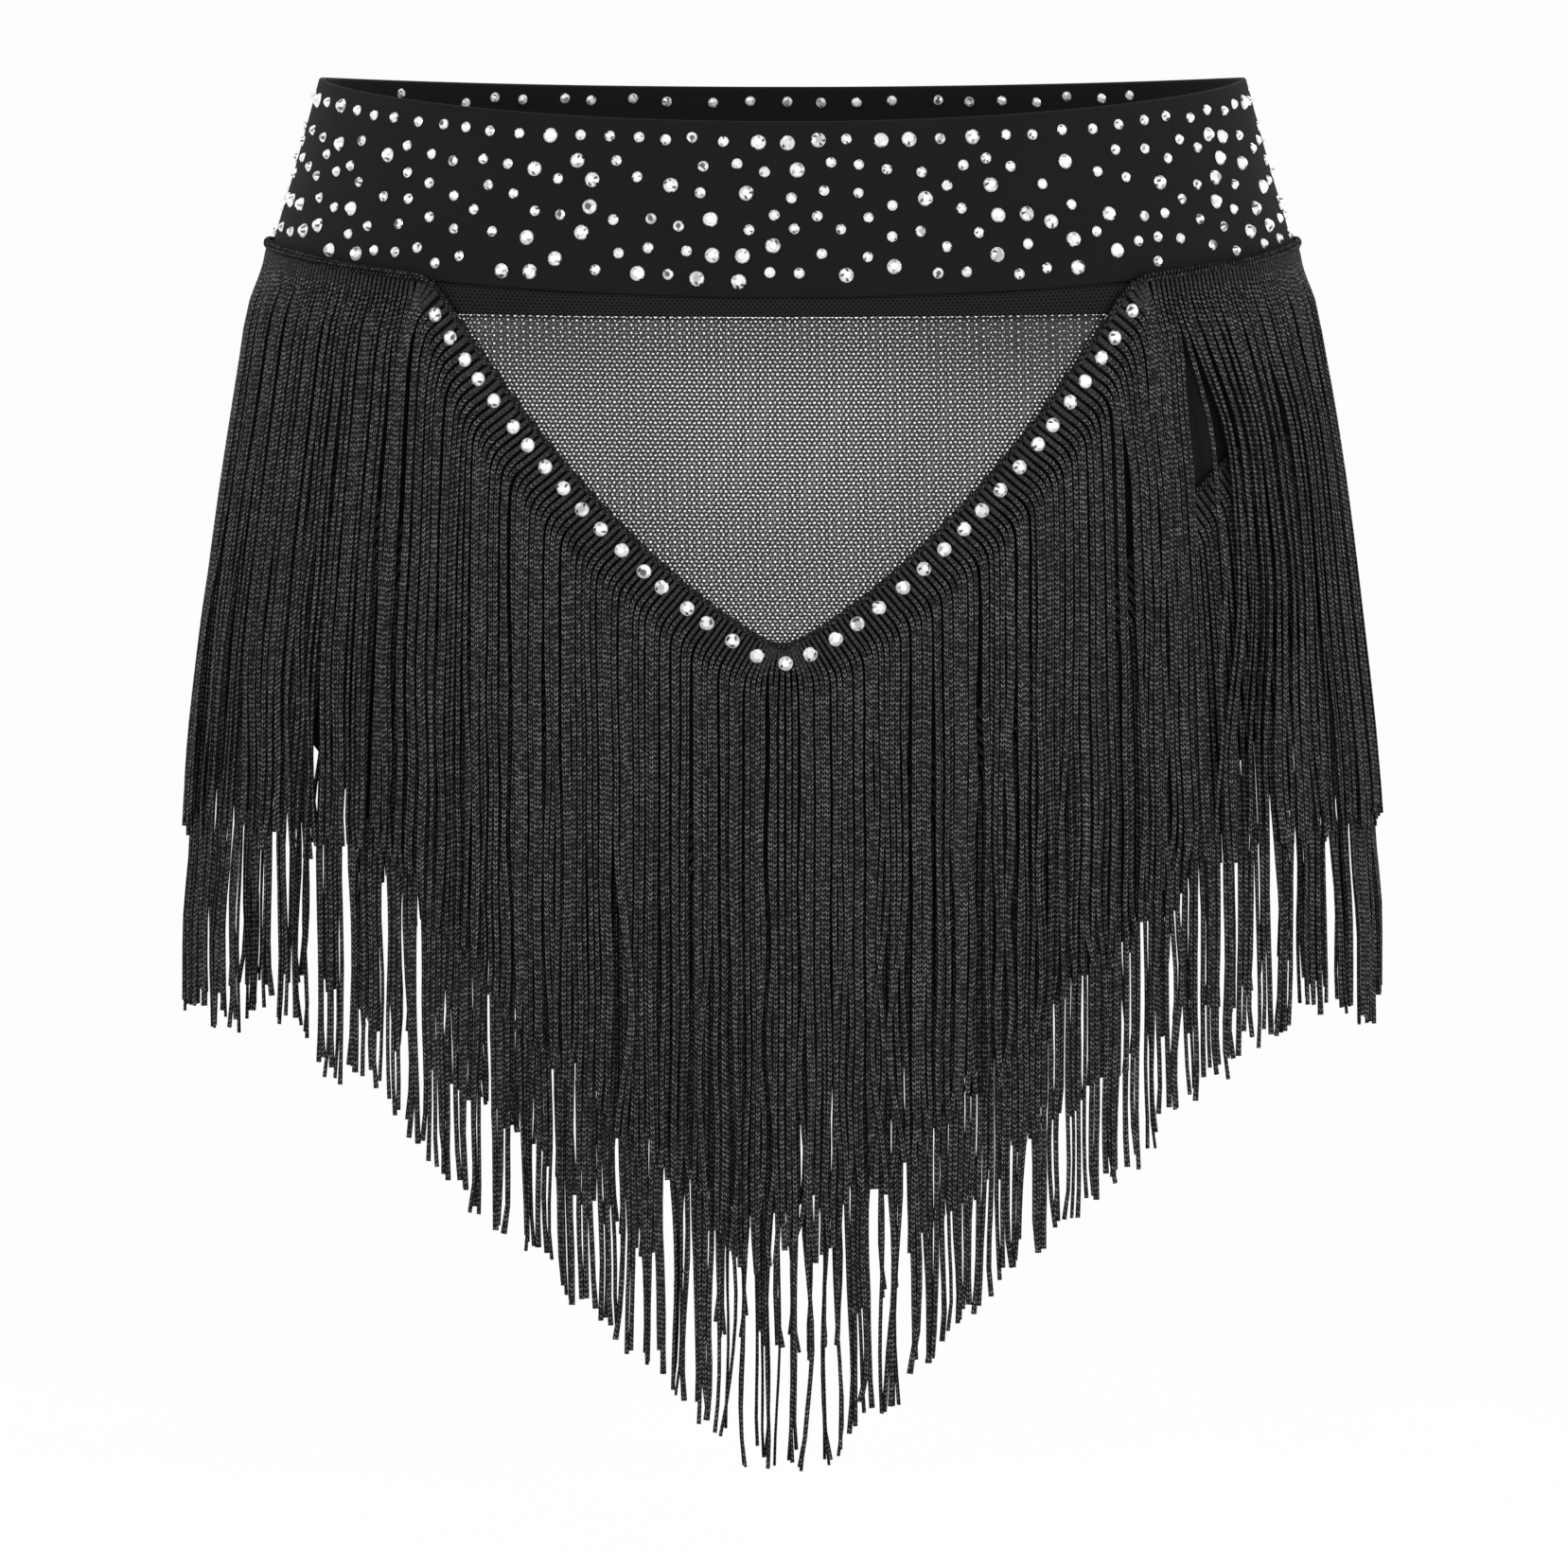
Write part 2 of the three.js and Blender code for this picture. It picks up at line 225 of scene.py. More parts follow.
def v_half(line, z):
    """Half the distance across a V line at a height."""
    tip, rise, curve = line
    return (np.sqrt(rise ** 2 + 4 * curve * (z - tip)) - rise) / (2 * curve)


def flat_header(tier, face, angle):
    """Height of a fringe tape's upper edge where it runs level, beside the V."""
    if tier == "lower":
        return LOWER_FLAT + 0 * angle
    return band_bottom(face, angle) + BAND_OVERLAP * np.cos(angle) ** 2


def header_line(tier, face, angle):
    """Height of the upper edge of a fringe tape, level at the sides and a V in the middle."""
    line = V_LINE[face] if tier == "upper" else LOWER_LINE
    flat = flat_header(tier, face, angle)
    z = flat
    for _ in range(ROUNDS):
        z = v_height(line, size_at(z, "width") * np.cos(angle), TIP_ROUND)
    share = np.clip(0.5 + (z - flat) / (2 * CORNER_ROUND), 0, 1)
    return mix(z, flat, share) - CORNER_ROUND * share * (1 - share)


def header_points(tier, face, angle):
    return on_surface(face, angle, header_line(tier, face, angle))


def header_tilt(tier, face, angle):
    """The slope of a header line, as an angle, for a step of rising angle."""
    low, high = (header_points(tier, face, angle + step) for step in (-1e-3, 1e-3))
    run = np.linalg.norm((high - low)[..., :2], axis=-1)
    return np.arctan2((high - low)[..., 2], run)


def steepness(tier, face, angle):
    """0 where a tape runs level and 1 where it runs steeply along the V."""
    return ease(math.radians(12), math.radians(34), np.abs(header_tilt(tier, face, angle)))


def below_header(tier, face, angle, reach):
    """Angle and height of the place that lies a reach square below the header line."""
    z = header_line(tier, face, angle)
    tilt = header_tilt(tier, face, angle)
    low = angle + reach * np.sin(tilt) / stretch(face, angle, z)
    low = np.clip(low, EDGE_ANGLE, math.pi - EDGE_ANGLE)
    return low, z - reach * np.cos(tilt)


def tape_angles(tier, face, reach, pitch, steps=2400):
    """Header angles that are a pitch apart along the line a reach below the header."""
    trail = np.linspace(EDGE_ANGLE, math.pi - EDGE_ANGLE, steps)
    run = run_along(on_surface(face, *below_header(tier, face, trail, reach)))
    return np.interp(evenly(0, run[-1], pitch), run, trail)


def hang_angle(angle, start, z):
    """The angle to which a cord has moved when it has fallen from one height to another."""
    across = np.cos(angle)
    spread = ease(SPREAD_FROM, SPREAD_FULL, np.abs(across))
    widths = size_at(start, "width") / size_at(z, "width")
    return np.arccos(np.clip(across * mix(widths, 1, spread), -1, 1))


# Mesh helpers
def clear_selection():
    if bpy.context.object and bpy.context.object.mode != "OBJECT":
        bpy.ops.object.mode_set(mode="OBJECT")
    bpy.ops.object.select_all(action="DESELECT")


def select_only(piece):
    clear_selection()
    piece.select_set(True)
    bpy.context.view_layer.objects.active = piece


def edit_all(piece, operator, **options):
    """Uses a mesh operator on the whole of a piece."""
    select_only(piece)
    bpy.ops.object.mode_set(mode="EDIT")
    bpy.ops.mesh.select_all(action="SELECT")
    operator(**options)
    bpy.ops.object.mode_set(mode="OBJECT")


def shade_smooth(piece, degrees):
    select_only(piece)
    bpy.ops.object.shade_smooth_by_angle(angle=math.radians(degrees))


def cloth_grid(name, points):
    """A sheet whose rows run down the cloth, with its UV map in metres along the cloth."""
    rows, columns = points.shape[:2]
    clear_selection()
    bpy.ops.mesh.primitive_grid_add(
        x_subdivisions=columns - 1, y_subdivisions=rows - 1, size=1, calc_uvs=True)
    piece = bpy.context.object
    piece.name = piece.data.name = name
    mesh = piece.data
    mesh.vertices.foreach_set("co", points.reshape(-1))
    across = run_along(points)
    across -= across[:, -1:] / 2
    down = run_along(points.swapaxes(0, 1)).mean(axis=0)[:, None] + 0 * across
    flat = np.stack([across, -down], axis=-1).reshape(-1, 2)
    corner = np.empty(len(mesh.loops), int)
    mesh.loops.foreach_get("vertex_index", corner)
    mesh.uv_layers.active.data.foreach_set("uv", flat[corner].reshape(-1))
    mesh.update()
    middle = points[rows // 2, columns // 2]
    face = mesh.polygons[(rows // 2) * (columns - 1) + columns // 2]
    if face.normal.x * middle[0] + face.normal.y * middle[1] < 0:
        edit_all(piece, bpy.ops.mesh.flip_normals)
    return piece


def give_wall(piece, wall, rim=0.0):
    """Gives a sheet its thickness towards the body, and rounds the edges of the wall."""
    solid = piece.modifiers.new("wall", "SOLIDIFY")
    solid.thickness = wall
    solid.offset = -1
    solid.use_even_offset = True
    if rim:
        bevel = piece.modifiers.new("rim", "BEVEL")
        bevel.width = rim
        bevel.segments = 3
        bevel.limit_method = "ANGLE"
        bevel.angle_limit = math.radians(60)
    select_only(piece)
    for modifier in list(piece.modifiers):
        bpy.ops.object.modifier_apply(modifier=modifier.name)
    shade_smooth(piece, 50)


def mesh_piece(name, points, faces, uv=None):
    mesh = bpy.data.meshes.new(name)
    mesh.from_pydata(points.tolist(), [], faces)
    if uv is not None:
        layer = mesh.uv_layers.new(name="UVMap")
        layer.data.foreach_set("uv", np.asarray(uv, float).reshape(-1))
    mesh.update()
    piece = bpy.data.objects.new(name, mesh)
    bpy.context.scene.collection.objects.link(piece)
    return piece


def close_tubes(points, along):
    """Rings of points as closed tubes: points, faces and a UV for each face corner.

    U runs round a tube, from the tube's number. V runs along it in metres.
    """
    count, rings, sides = points.shape[:3]
    corner = np.arange(count * rings * sides).reshape(count, rings, sides)
    after = np.roll(corner, -1, axis=2)
    quads = np.stack([corner[:, :-1], after[:, :-1], after[:, 1:], corner[:, 1:]], axis=-1)
    own = np.arange(count)
    u = np.broadcast_to(own[:, None, None] + np.arange(sides) / sides, quads.shape[:-1])
    v = np.broadcast_to(along[..., None], corner.shape)
    uv = [np.stack([
        np.stack([u, u + 1 / sides, u + 1 / sides, u], axis=-1),
        np.stack([v[:, :-1], v[:, :-1], v[:, 1:], v[:, 1:]], axis=-1)], axis=-1).reshape(-1, 2)]
    faces = quads.reshape(-1, 4).tolist() + corner[:, 0, ::-1].tolist() + corner[:, -1].tolist()
    for end in (0, -1):
        uv.append(np.repeat(np.stack([own + 0.25, along[:, end]], axis=-1), sides, axis=0))
    return points.reshape(-1, 3), faces, np.concatenate(uv)


def tubes(centres, side, lift, half_width, half_depth, sides=6, sewn=0.0):
    """Tubes along rows of centres. V starts at the end of a tube's sewn part."""
    turn = 2 * math.pi * np.arange(sides) / sides
    ring = (
        side[:, :, None] * np.cos(turn)[:, None] * half_width[..., None, None]
        + lift[:, :, None] * np.sin(turn)[:, None] * half_depth[..., None, None]
    )
    along = run_along(centres) - np.broadcast_to(sewn, len(centres))[:, None]
    return close_tubes(centres[:, :, None] + ring, along)


def sides_of(centres, outwards):
    """The directions to the side and outwards that are square to rows of centres."""
    tangent = unit(np.gradient(centres, axis=1))
    side = unit(np.cross(tangent, outwards))
    return side, np.cross(side, tangent)


def join_parts(parts):
    """Several sets of points, faces and UVs as one."""
    points, faces, uv = [], [], []
    base = 0
    for some_points, some_faces, some_uv in parts:
        points.append(some_points)
        faces += [[i + base for i in face] for face in some_faces]
        uv.append(some_uv)
        base += len(some_points)
    return np.concatenate(points), faces, np.concatenate(uv)


def closed_piece(name, points, faces, uv):
    """A smooth piece of closed shells, each of which faces outwards."""
    piece = mesh_piece(name, points, faces, uv)
    edit_all(piece, bpy.ops.mesh.normals_make_consistent, inside=False)
    shade_smooth(piece, 75)
    return piece


# Finishes
class Nodes:
    """Adds nodes to a tree and links them, with a constant wherever no socket is given."""

    def __init__(self, tree):
        self.tree = tree

    def add(self, kind, **settings):
        node = self.tree.nodes.new(kind)
        for name, value in settings.items():
            setattr(node, name, value)
        return node

    def feed(self, socket, value):
        if isinstance(value, bpy.types.NodeSocket):
            self.tree.links.new(value, socket)
        else:
            socket.default_value = value

    def made(self, kind, *values, **settings):
        """A node whose sockets take the values in turn, and its first output."""
        node = self.add(kind, **settings)
        for socket, value in zip(node.inputs, values):
            self.feed(socket, value)
        return node.outputs[0]

    def math(self, operation, *values):
        return self.made("ShaderNodeMath", *values, operation=operation)

    def times(self, first, *others):
        for other in others:
            first = self.math("MULTIPLY", first, other)
        return first

    def plus(self, first, *others):
        for other in others:
            first = self.math("ADD", first, other)
        return first

    def vector(self, operation, *values):
        return self.made("ShaderNodeVectorMath", *values, operation=operation)

    def length(self, value):
        node = self.add("ShaderNodeVectorMath", operation="LENGTH")
        self.feed(node.inputs[0], value)
        return node.outputs["Value"]

    def split(self, value):
        node = self.add("ShaderNodeSeparateXYZ")
        self.feed(node.inputs[0], value)
        return node.outputs

    def place(self, kind="UV"):
        return self.add("ShaderNodeTexCoord").outputs[kind]

    def blend(self, share, a, b):
        node = self.add("ShaderNodeMix", data_type="RGBA")
        self.feed(node.inputs[0], share)
        self.feed(node.inputs[6], a)
        self.feed(node.inputs[7], b)
        return node.outputs[2]

    def spread(self, value, low, high, to_low=0.0, to_high=1.0, smooth=False):
        kind = "SMOOTHSTEP" if smooth else "LINEAR"
        return self.made("ShaderNodeMapRange", value, low, high, to_low, to_high, interpolation_type=kind)

    def noise(self, vector, scale, detail=2.0):
        node = self.add("ShaderNodeTexNoise")
        for name, value in (("Vector", vector), ("Scale", scale), ("Detail", detail)):
            self.feed(node.inputs[name], value)
        return node.outputs["Fac"]


def new_group(name, inputs, outputs):
    """A shader node group with named sockets, and its group input and output nodes."""
    tree = bpy.data.node_groups.new(name, "ShaderNodeTree")
    kinds = {"vector": "NodeSocketVector", "value": "NodeSocketFloat", "colour": "NodeSocketColor"}
    for label, kind, default in inputs:
        socket = tree.interface.new_socket(label, in_out="INPUT", socket_type=kinds[kind])
        if default is not None:
            socket.default_value = default
    for label, kind in outputs:
        tree.interface.new_socket(label, in_out="OUTPUT", socket_type=kinds[kind])
    nodes = Nodes(tree)
    return nodes, nodes.add("NodeGroupInput").outputs, nodes.add("NodeGroupOutput").inputs


def grey(level):
    return (level, level, level, 1.0)


def shade(colour, times):
    return (*[times * c for c in colour], 1.0)


def knit_group():
    """Rows of small knit loops, with slow changes of tone."""
    nodes, given, result = new_group(
        "Knit loops",
        [("Vector", "vector", None), ("Loop width", "value", 0.0006), ("Dark", "colour", grey(0.01)),
         ("Light", "colour", grey(0.02))],
        [("Color", "colour"), ("Height", "value")])
    across, down, _ = nodes.split(given["Vector"])
    wale = nodes.math("PINGPONG", nodes.math("DIVIDE", across, given["Loop width"]), 0.5)
    row = nodes.plus(nodes.math("DIVIDE", down, given["Loop width"]), nodes.times(wale, 1.2))
    height = nodes.times(wale, 2, nodes.plus(nodes.math("PINGPONG", row, 0.5), 0.5))
    slow = nodes.noise(given["Vector"], 28.0, 3.0)
    lint = nodes.noise(given["Vector"], 2600.0, 1.0)
    tone = nodes.plus(nodes.times(height, 0.35), nodes.times(lint, 0.35), nodes.times(slow, 0.3))
    nodes.feed(result["Color"], nodes.blend(tone, given["Dark"], given["Light"]))
    nodes.feed(result["Height"], height)
    return nodes.tree


def net_group():
    """Open cells of a stretch net in staggered rows, and the round of its threads."""
    nodes, given, result = new_group(
        "Net cells",
        [("Vector", "vector", None), ("Across", "value", 0.0015), ("Down", "value", 0.00138),
         ("Hole", "value", 0.0005), ("Soft", "value", 0.0001)],
        [("Thread", "value"), ("Height", "value")])
    cell = nodes.add("ShaderNodeCombineXYZ")
    nodes.feed(cell.inputs[0], given["Across"])
    nodes.feed(cell.inputs[1], nodes.times(given["Down"], 2.0))
    nodes.feed(cell.inputs[2], 1.0)
    scaled = nodes.vector("DIVIDE", given["Vector"], cell.outputs[0])
    gaps = []
    for shift in ((0.0, 0.0, 0.0), (0.5, 0.5, 0.0)):
        place = nodes.vector("FRACTION", nodes.vector("ADD", scaled, shift))
        place = nodes.vector("SUBTRACT", place, (0.5, 0.5, 0.0))
        place = nodes.vector("MULTIPLY", place, cell.outputs[0])
        place = nodes.vector("MULTIPLY", place, (1.0, 1.0, 0.0))
        gaps.append(nodes.length(place))
    near = nodes.math("MINIMUM", *gaps)
    thread = nodes.spread(near, given["Hole"], nodes.plus(given["Hole"], given["Soft"]), smooth=True)
    nodes.feed(result["Thread"], thread)
    nodes.feed(result["Height"], thread)
    return nodes.tree


def chain_group():
    """The V stitches of a knitted chain cord, with painted highlights on the stitches and painted shade on
    the sides of the cord.

    U runs round the cord, from the cord's own whole number. V runs along it in metres.
    """
    nodes, given, result = new_group(
        "Chain stitch",
        [("Vector", "vector", None), ("Pitch", "value", 0.001), ("Dark", "colour", grey(0.01)),
         ("Light", "colour", grey(0.06)), ("Sewn", "value", 0.0), ("Place", "vector", None)],
        [("Color", "colour"), ("Height", "value")])
    turn, down, _ = nodes.split(given["Vector"])
    across = nodes.math("ABSOLUTE", nodes.math("COSINE", nodes.times(turn, 2 * math.pi)))
    # Each cord's stitches start at a place of their own.
    own = nodes.math("SINE", nodes.times(nodes.math("FLOOR", turn), 12.99))
    row = nodes.math("DIVIDE", down, given["Pitch"])
    row = nodes.plus(row, nodes.times(across, 0.7), nodes.times(own, 3.0))
    dash = nodes.spread(nodes.math("PINGPONG", row, 0.5), 0.16, 0.44)
    leg = nodes.times(across, nodes.math("SUBTRACT", 1.0, across), 4.0)
    height = nodes.times(dash, nodes.math("POWER", leg, 1.6))
    # Painted highlight: the legs of the stitches are lit in random spots, and less where the cord is sewn.
    highlight_noise = nodes.spread(nodes.noise(given["Place"], 700.0, 1.0), 0.4, 0.66, 0.2, 1.0)
    slow = nodes.spread(nodes.noise(given["Place"], 60.0, 2.0), 0.3, 0.7, 0.85, 1.15)
    free = nodes.spread(down, given["Sewn"], nodes.plus(given["Sewn"], 0.004), 0.2, 1.0)
    stitch_highlight = nodes.times(height, highlight_noise, slow, free)
    # Where the stitches are sewn flat, only the round of the cord shows, as a painted highlight on its
    # crown and painted shade on its sides.
    round_cord = nodes.math("SUBTRACT", 1.0, nodes.times(across, across))
    crown_shading = nodes.times(round_cord, nodes.spread(free, 0.2, 1.0, 0.075, 0.012))
    tone = nodes.plus(stitch_highlight, crown_shading)
    nodes.feed(result["Color"], nodes.blend(tone, given["Dark"], given["Light"]))
    nodes.feed(result["Height"], nodes.times(height, free))
    return nodes.tree


def new_material(name, roughness, specular, sheen=0.0, sheen_roughness=0.5):
    """A material with its shader, whose constant values stand on the shader's own sockets."""
    material = bpy.data.materials.new(name)
    material.use_nodes = True
    tree = material.node_tree
    shader = tree.nodes["Principled BSDF"]
    shader.inputs["Roughness"].default_value = roughness
    shader.inputs["Specular IOR Level"].default_value = specular
    shader.inputs["Sheen Weight"].default_value = sheen
    shader.inputs["Sheen Roughness"].default_value = sheen_roughness
    return material, Nodes(tree), shader


def place_group(nodes, tree, **values):
    node = nodes.add("ShaderNodeGroup", node_tree=tree)
    for name, value in values.items():
        nodes.feed(node.inputs[name.replace("_", " ")], value)
    return node.outputs


def add_bump(nodes, shader, height, depth, strength=1.0):
    bump = nodes.add("ShaderNodeBump")
    bump.inputs["Strength"].default_value = strength
    bump.inputs["Distance"].default_value = depth
    nodes.feed(bump.inputs["Height"], height)
    nodes.feed(shader.inputs["Normal"], bump.outputs[0])


def knit_material(name, tree, dark, light, loop):
    material, nodes, shader = new_material(name, 0.85, 0.06, 0.02, 0.6)
    knit = place_group(nodes, tree, Vector=nodes.place(), Loop_width=loop, Dark=dark, Light=light)
    nodes.feed(shader.inputs["Base Color"], knit["Color"])
    add_bump(nodes, shader, knit["Height"], 0.00015, 0.6)
    return material


def net_material(name, tree, colour, hole, turn):
    material, nodes, shader = new_material(name, 0.6, 0.3, 0.1)
    place = nodes.add("ShaderNodeMapping", vector_type="POINT")
    place.inputs["Rotation"].default_value = (0, 0, turn)
    nodes.feed(place.inputs["Vector"], nodes.place())
    # The stretch attribute opens the holes. Where it closes them, it paints shade into the net.
    drawn = nodes.add("ShaderNodeAttribute", attribute_name="stretch").outputs["Fac"]
    cells = place_group(nodes, tree, Vector=place.outputs[0], Hole=nodes.times(drawn, hole))
    tone = nodes.spread(nodes.noise(nodes.place(), 900.0), 0.3, 0.7)
    nodes.feed(shader.inputs["Base Color"], nodes.blend(tone, grey(colour * 0.6), grey(colour * 1.5)))
    nodes.feed(shader.inputs["Alpha"], cells["Thread"])
    add_bump(nodes, shader, cells["Height"], 0.0002, 0.5)
    return material


def strip_material(name, knit_tree, net_tree):
    """The turned, doubled edge of the net, which shows as a fine speckle."""
    material, nodes, shader = new_material(name, 0.8, 0.05)
    knit = place_group(nodes, knit_tree, Vector=nodes.place(), Loop_width=0.0005,
                       Dark=grey(0.005), Light=grey(0.022))
    cells = place_group(nodes, net_tree, Vector=nodes.place(), Across=0.0015, Down=0.0011, Hole=0.0003)
    nodes.feed(shader.inputs["Base Color"], nodes.blend(cells["Thread"], grey(0.002), knit["Color"]))
    add_bump(nodes, shader, cells["Height"], 0.0004, 0.9)
    return material


def cord_material(name, tree, dark, light, pitch, sewn):
    material, nodes, shader = new_material(name, 0.6, 0.03)
    chain = place_group(nodes, tree, Vector=nodes.place(), Place=nodes.place("Object"), Pitch=pitch,
                        Sewn=sewn, Dark=dark, Light=light)
    nodes.feed(shader.inputs["Base Color"], chain["Color"])
    add_bump(nodes, shader, chain["Height"], 0.0003, 0.9)
    return material


def stone_material(name):
    """Foiled glass: each facet carries a painted reflection, the tone that it throws back."""
    material, nodes, shader = new_material(name, 0.08, 0.6)
    shader.inputs["Metallic"].default_value = 0.3
    tone = nodes.add("ShaderNodeAttribute", attribute_name="facet_reflection")
    nodes.feed(shader.inputs["Base Color"], tone.outputs["Color"])
    rough = nodes.spread(nodes.noise(nodes.place("Object"), 800.0), 0.3, 0.7, 0.05, 0.16)
    nodes.feed(shader.inputs["Roughness"], rough)
    shader.inputs["Coat Weight"].default_value = 0.6
    shader.inputs["Coat Roughness"].default_value = 0.04
    return material


FINISH = {}


def finishes():
    """Makes every finish once and returns them by name."""
    if FINISH:
        return FINISH
    cloth = bpy.context.scene.shorts_cloth
    net = bpy.context.scene.shorts_net
    cord = bpy.context.scene.shorts_fringe
    knits, nets, chains = knit_group(), net_group(), chain_group()
    FINISH["knit"] = knit_material(
        "Black stretch knit", knits, shade(cloth.colour, 0.6), shade(cloth.colour, 1.5), cloth.loop_width)
    FINISH["net_front"] = net_material("Black stretch net", nets, net.colour[0], net.hole, 0.0)
    FINISH["net_back"] = net_material(
        "Black stretch net, back", nets, net.colour[0], net.back_hole, math.radians(30))
    FINISH["strip"] = strip_material("Turned net edge", knits, nets)
    # The light tone of the cords and of the tape edge is their painted highlight, many times the middle
    # colour.
    dark = shade(cord.colour, 0.2)
    FINISH["cord"] = cord_material(
        "Black chain cord", chains, dark, shade(cord.colour, 16.5), cord.stitch, 0.0)
    FINISH["edge"] = cord_material(
        "Crocheted tape edge", chains, dark, shade(cord.colour, 12.0), 0.0014, -0.01)
    FINISH["stone"] = stone_material("Foiled glass")
    return FINISH


def finish_piece(piece, finish, slot, *nodes):
    """Gives a piece its finish and its place in the frame."""
    piece.data.materials.clear()
    piece.data.materials.append(finishes()[finish])
    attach(piece, "root")
    if nodes:
        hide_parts(*nodes)


def cloth_piece(name, points, finish, slot, node, wall=0.0, rim=0.0):
    """A finished piece of cloth, which stands for its CAD node."""
    piece = cloth_grid(name, points)
    if wall:
        give_wall(piece, wall, rim)
    else:
        shade_smooth(piece, 60)
    finish_piece(piece, finish, slot, node)
    return piece


# Cloth pieces
def band_points(face, columns=121, rows=13):
    u = np.linspace(0, math.pi, columns)[None]
    v = np.linspace(0, 1, rows)[:, None]
    z = mix(band_top(face, u), band_bottom(face, u), v)
    ripple = 0.25 * MM * np.sin(9 * u + 1.3) * np.sin(math.pi * v) + 0.15 * MM * np.sin(23 * u) * v
    return on_surface(face, u + 0 * z, z, ripple * np.sin(u))


def v_span(face, z):
    """The angles between which the V inset lies at a height."""
    start = np.arccos(v_half(V_LINE[face], z + UNDER_TAPE) / size_at(z, "width"))
    return start, math.pi - start


def inset_points(face, columns=61, rows=41):
    low = v_height(V_LINE[face], 1.5 * MM) - UNDER_TAPE
    z = np.linspace(MESH_TOP[face] - SEAM / 2, low, rows)[:, None]
    start, end = v_span(face, z)
    angle = mix(start, end, np.linspace(0, 1, columns)[None])
    under_strip = ease(MESH_TOP[face] - 4 * MM, MESH_TOP[face], z)
    return on_surface(face, angle, z + 0 * angle, -NET_BACK[0] - NET_BACK[1] * under_strip)


def net_stretch_and_shade(piece, points):
    """Marks how far the net is drawn open: most in the middle, least in the two top corners, where the
    closed holes are painted shade.
    """
    x, z = points[..., 0].reshape(-1), points[..., 2].reshape(-1)
    top = ease(-95 * MM, -50 * MM, z)
    level = 1 - 0.14 * ease(-74 * MM, -48 * MM, z) - 0.05 * ease(-98 * MM, -128 * MM, z)
    # Closing the top corners, more at +X, paints shade into the net.
    level = level - 0.11 * top * ease(25 * MM, 85 * MM, -x) - 0.2 * top * ease(20 * MM, 88 * MM, x)
    level = level - 0.05 * (1 - top) * ease(15 * MM, 50 * MM, np.abs(x))
    layer = piece.data.attributes.new("stretch", "FLOAT", "POINT")
    layer.data.foreach_set("value", level)


def strip_points(face, columns=81, rows=9):
    low = MESH_TOP[face] + SEAM / 2
    start, end = v_span(face, low)
    u = np.linspace(0, 1, columns)[None]
    angle = mix(start, end, u)
    v = np.linspace(0, 1, rows)[:, None]
    z = mix(band_bottom(face, angle) + 2.5 * MM, low, v)
    start, end = v_span(face, z + STRIP_TUCK)
    under_band = ease(-1.5 * MM, 1.5 * MM, z - band_bottom(face, angle))
    return on_surface(face, mix(start, end, u), z, -STRIP_BACK[0] - STRIP_BACK[1] * under_band)


def panel_top(face, angle):
    under = band_bottom(face, angle) + TUCK
    z = under
    for _ in range(ROUNDS):
        z = v_height(V_LINE[face], size_at(z, "width") * np.cos(angle)) - UNDER_TAPE
    return np.minimum(under, z)


def panel_points(face, side, columns=49, rows=33):
    # One column stands at the corner where the V meets the band.
    trail = np.linspace(0, 1, 4001)
    quarter = trail * math.pi / 2
    corner = trail[np.argmax(panel_top(face, quarter) < band_bottom(face, quarter))]
    u = np.linspace(0, 1, columns)
    u[np.argmin(np.abs(u - corner))] = corner
    u = u[None]
    v = np.linspace(0, 1, rows)[:, None]
    turn_at = math.acos(LEG_TURN) / (math.pi / 2)
    angle = mix(0, math.pi / 2, u)
    fall = ease(HEM_LEVEL, 1, np.sin(u * math.pi / 2) ** 2)
    z = mix(panel_top(face, angle), mix(HEM_SIDE, HEM_INSEAM, fall), v)
    width = size_at(z, "width")
    leg = np.clip((FORK_START - z) / (FORK_START - CROTCH), 0, 1)
    inner = np.maximum(0, (u - turn_at) / (1 - turn_at))
    turn = np.where(u < turn_at, 0, mix(1 - np.cos(angle) / LEG_TURN, np.sin(inner * math.pi / 2), leg))
    x = np.where(u < turn_at, width * np.cos(angle), mix(LEG_TURN * width, 0, turn))
    depth = size_at(z, face) * np.sqrt(np.maximum(1 - (x / width) ** 2, 0))
    depth = depth * np.sqrt(np.maximum(1 - (leg * turn) ** 2, 0))
    y = np.maximum(depth, SEAM / 2) * SIGN[face]
    return np.stack(np.broadcast_arrays(side * x, y, z), axis=-1)


# Fringe
SEED = {("upper", "front"): 11, ("upper", "back"): 23, ("lower", "front"): 37, ("lower", "back"): 41}
# Where a cord lies, outwards from the cloth: on its tape, and hanging free.
ON_TAPE = 1.45 * MM
HANGING = {"upper": 4.5 * MM, "lower": 2.1 * MM}
# The ends of the lower tier stand out at the sides.
SIDE_FLARE = 2.2 * MM
# How much of a cord is sewn down: where the tape runs level, and where it runs steeply. Then it
# bends until it hangs plumb.
SEWN_LEVEL = 4.5 * MM
SEWN_STEEP = 10 * MM
BEND_LENGTH = 8.5 * MM
# The length of one loop of a tape's crocheted edge.
EDGE_LOOP = 2.8 * MM
# The share of the level spacing at which the cords of each tier hang below the V.
V_PITCH = {"upper": 0.885, "lower": 1}
# Where two cords leave the tape further apart than this share of the spacing, one more fits between.
FAN_SPACE = 1.45
# Points of a cord's path over its bend, steps between two of them, and points in all.
BEND_STEPS = 13
FINE_STEPS = 6
RINGS = 31
# The sizes of bundles of cords, and how often each comes.
BUNDLES = ((1, 0.16), (2, 0.2), (3, 0.2), (4, 0.17), (5, 0.12), (6, 0.08), (8, 0.07))
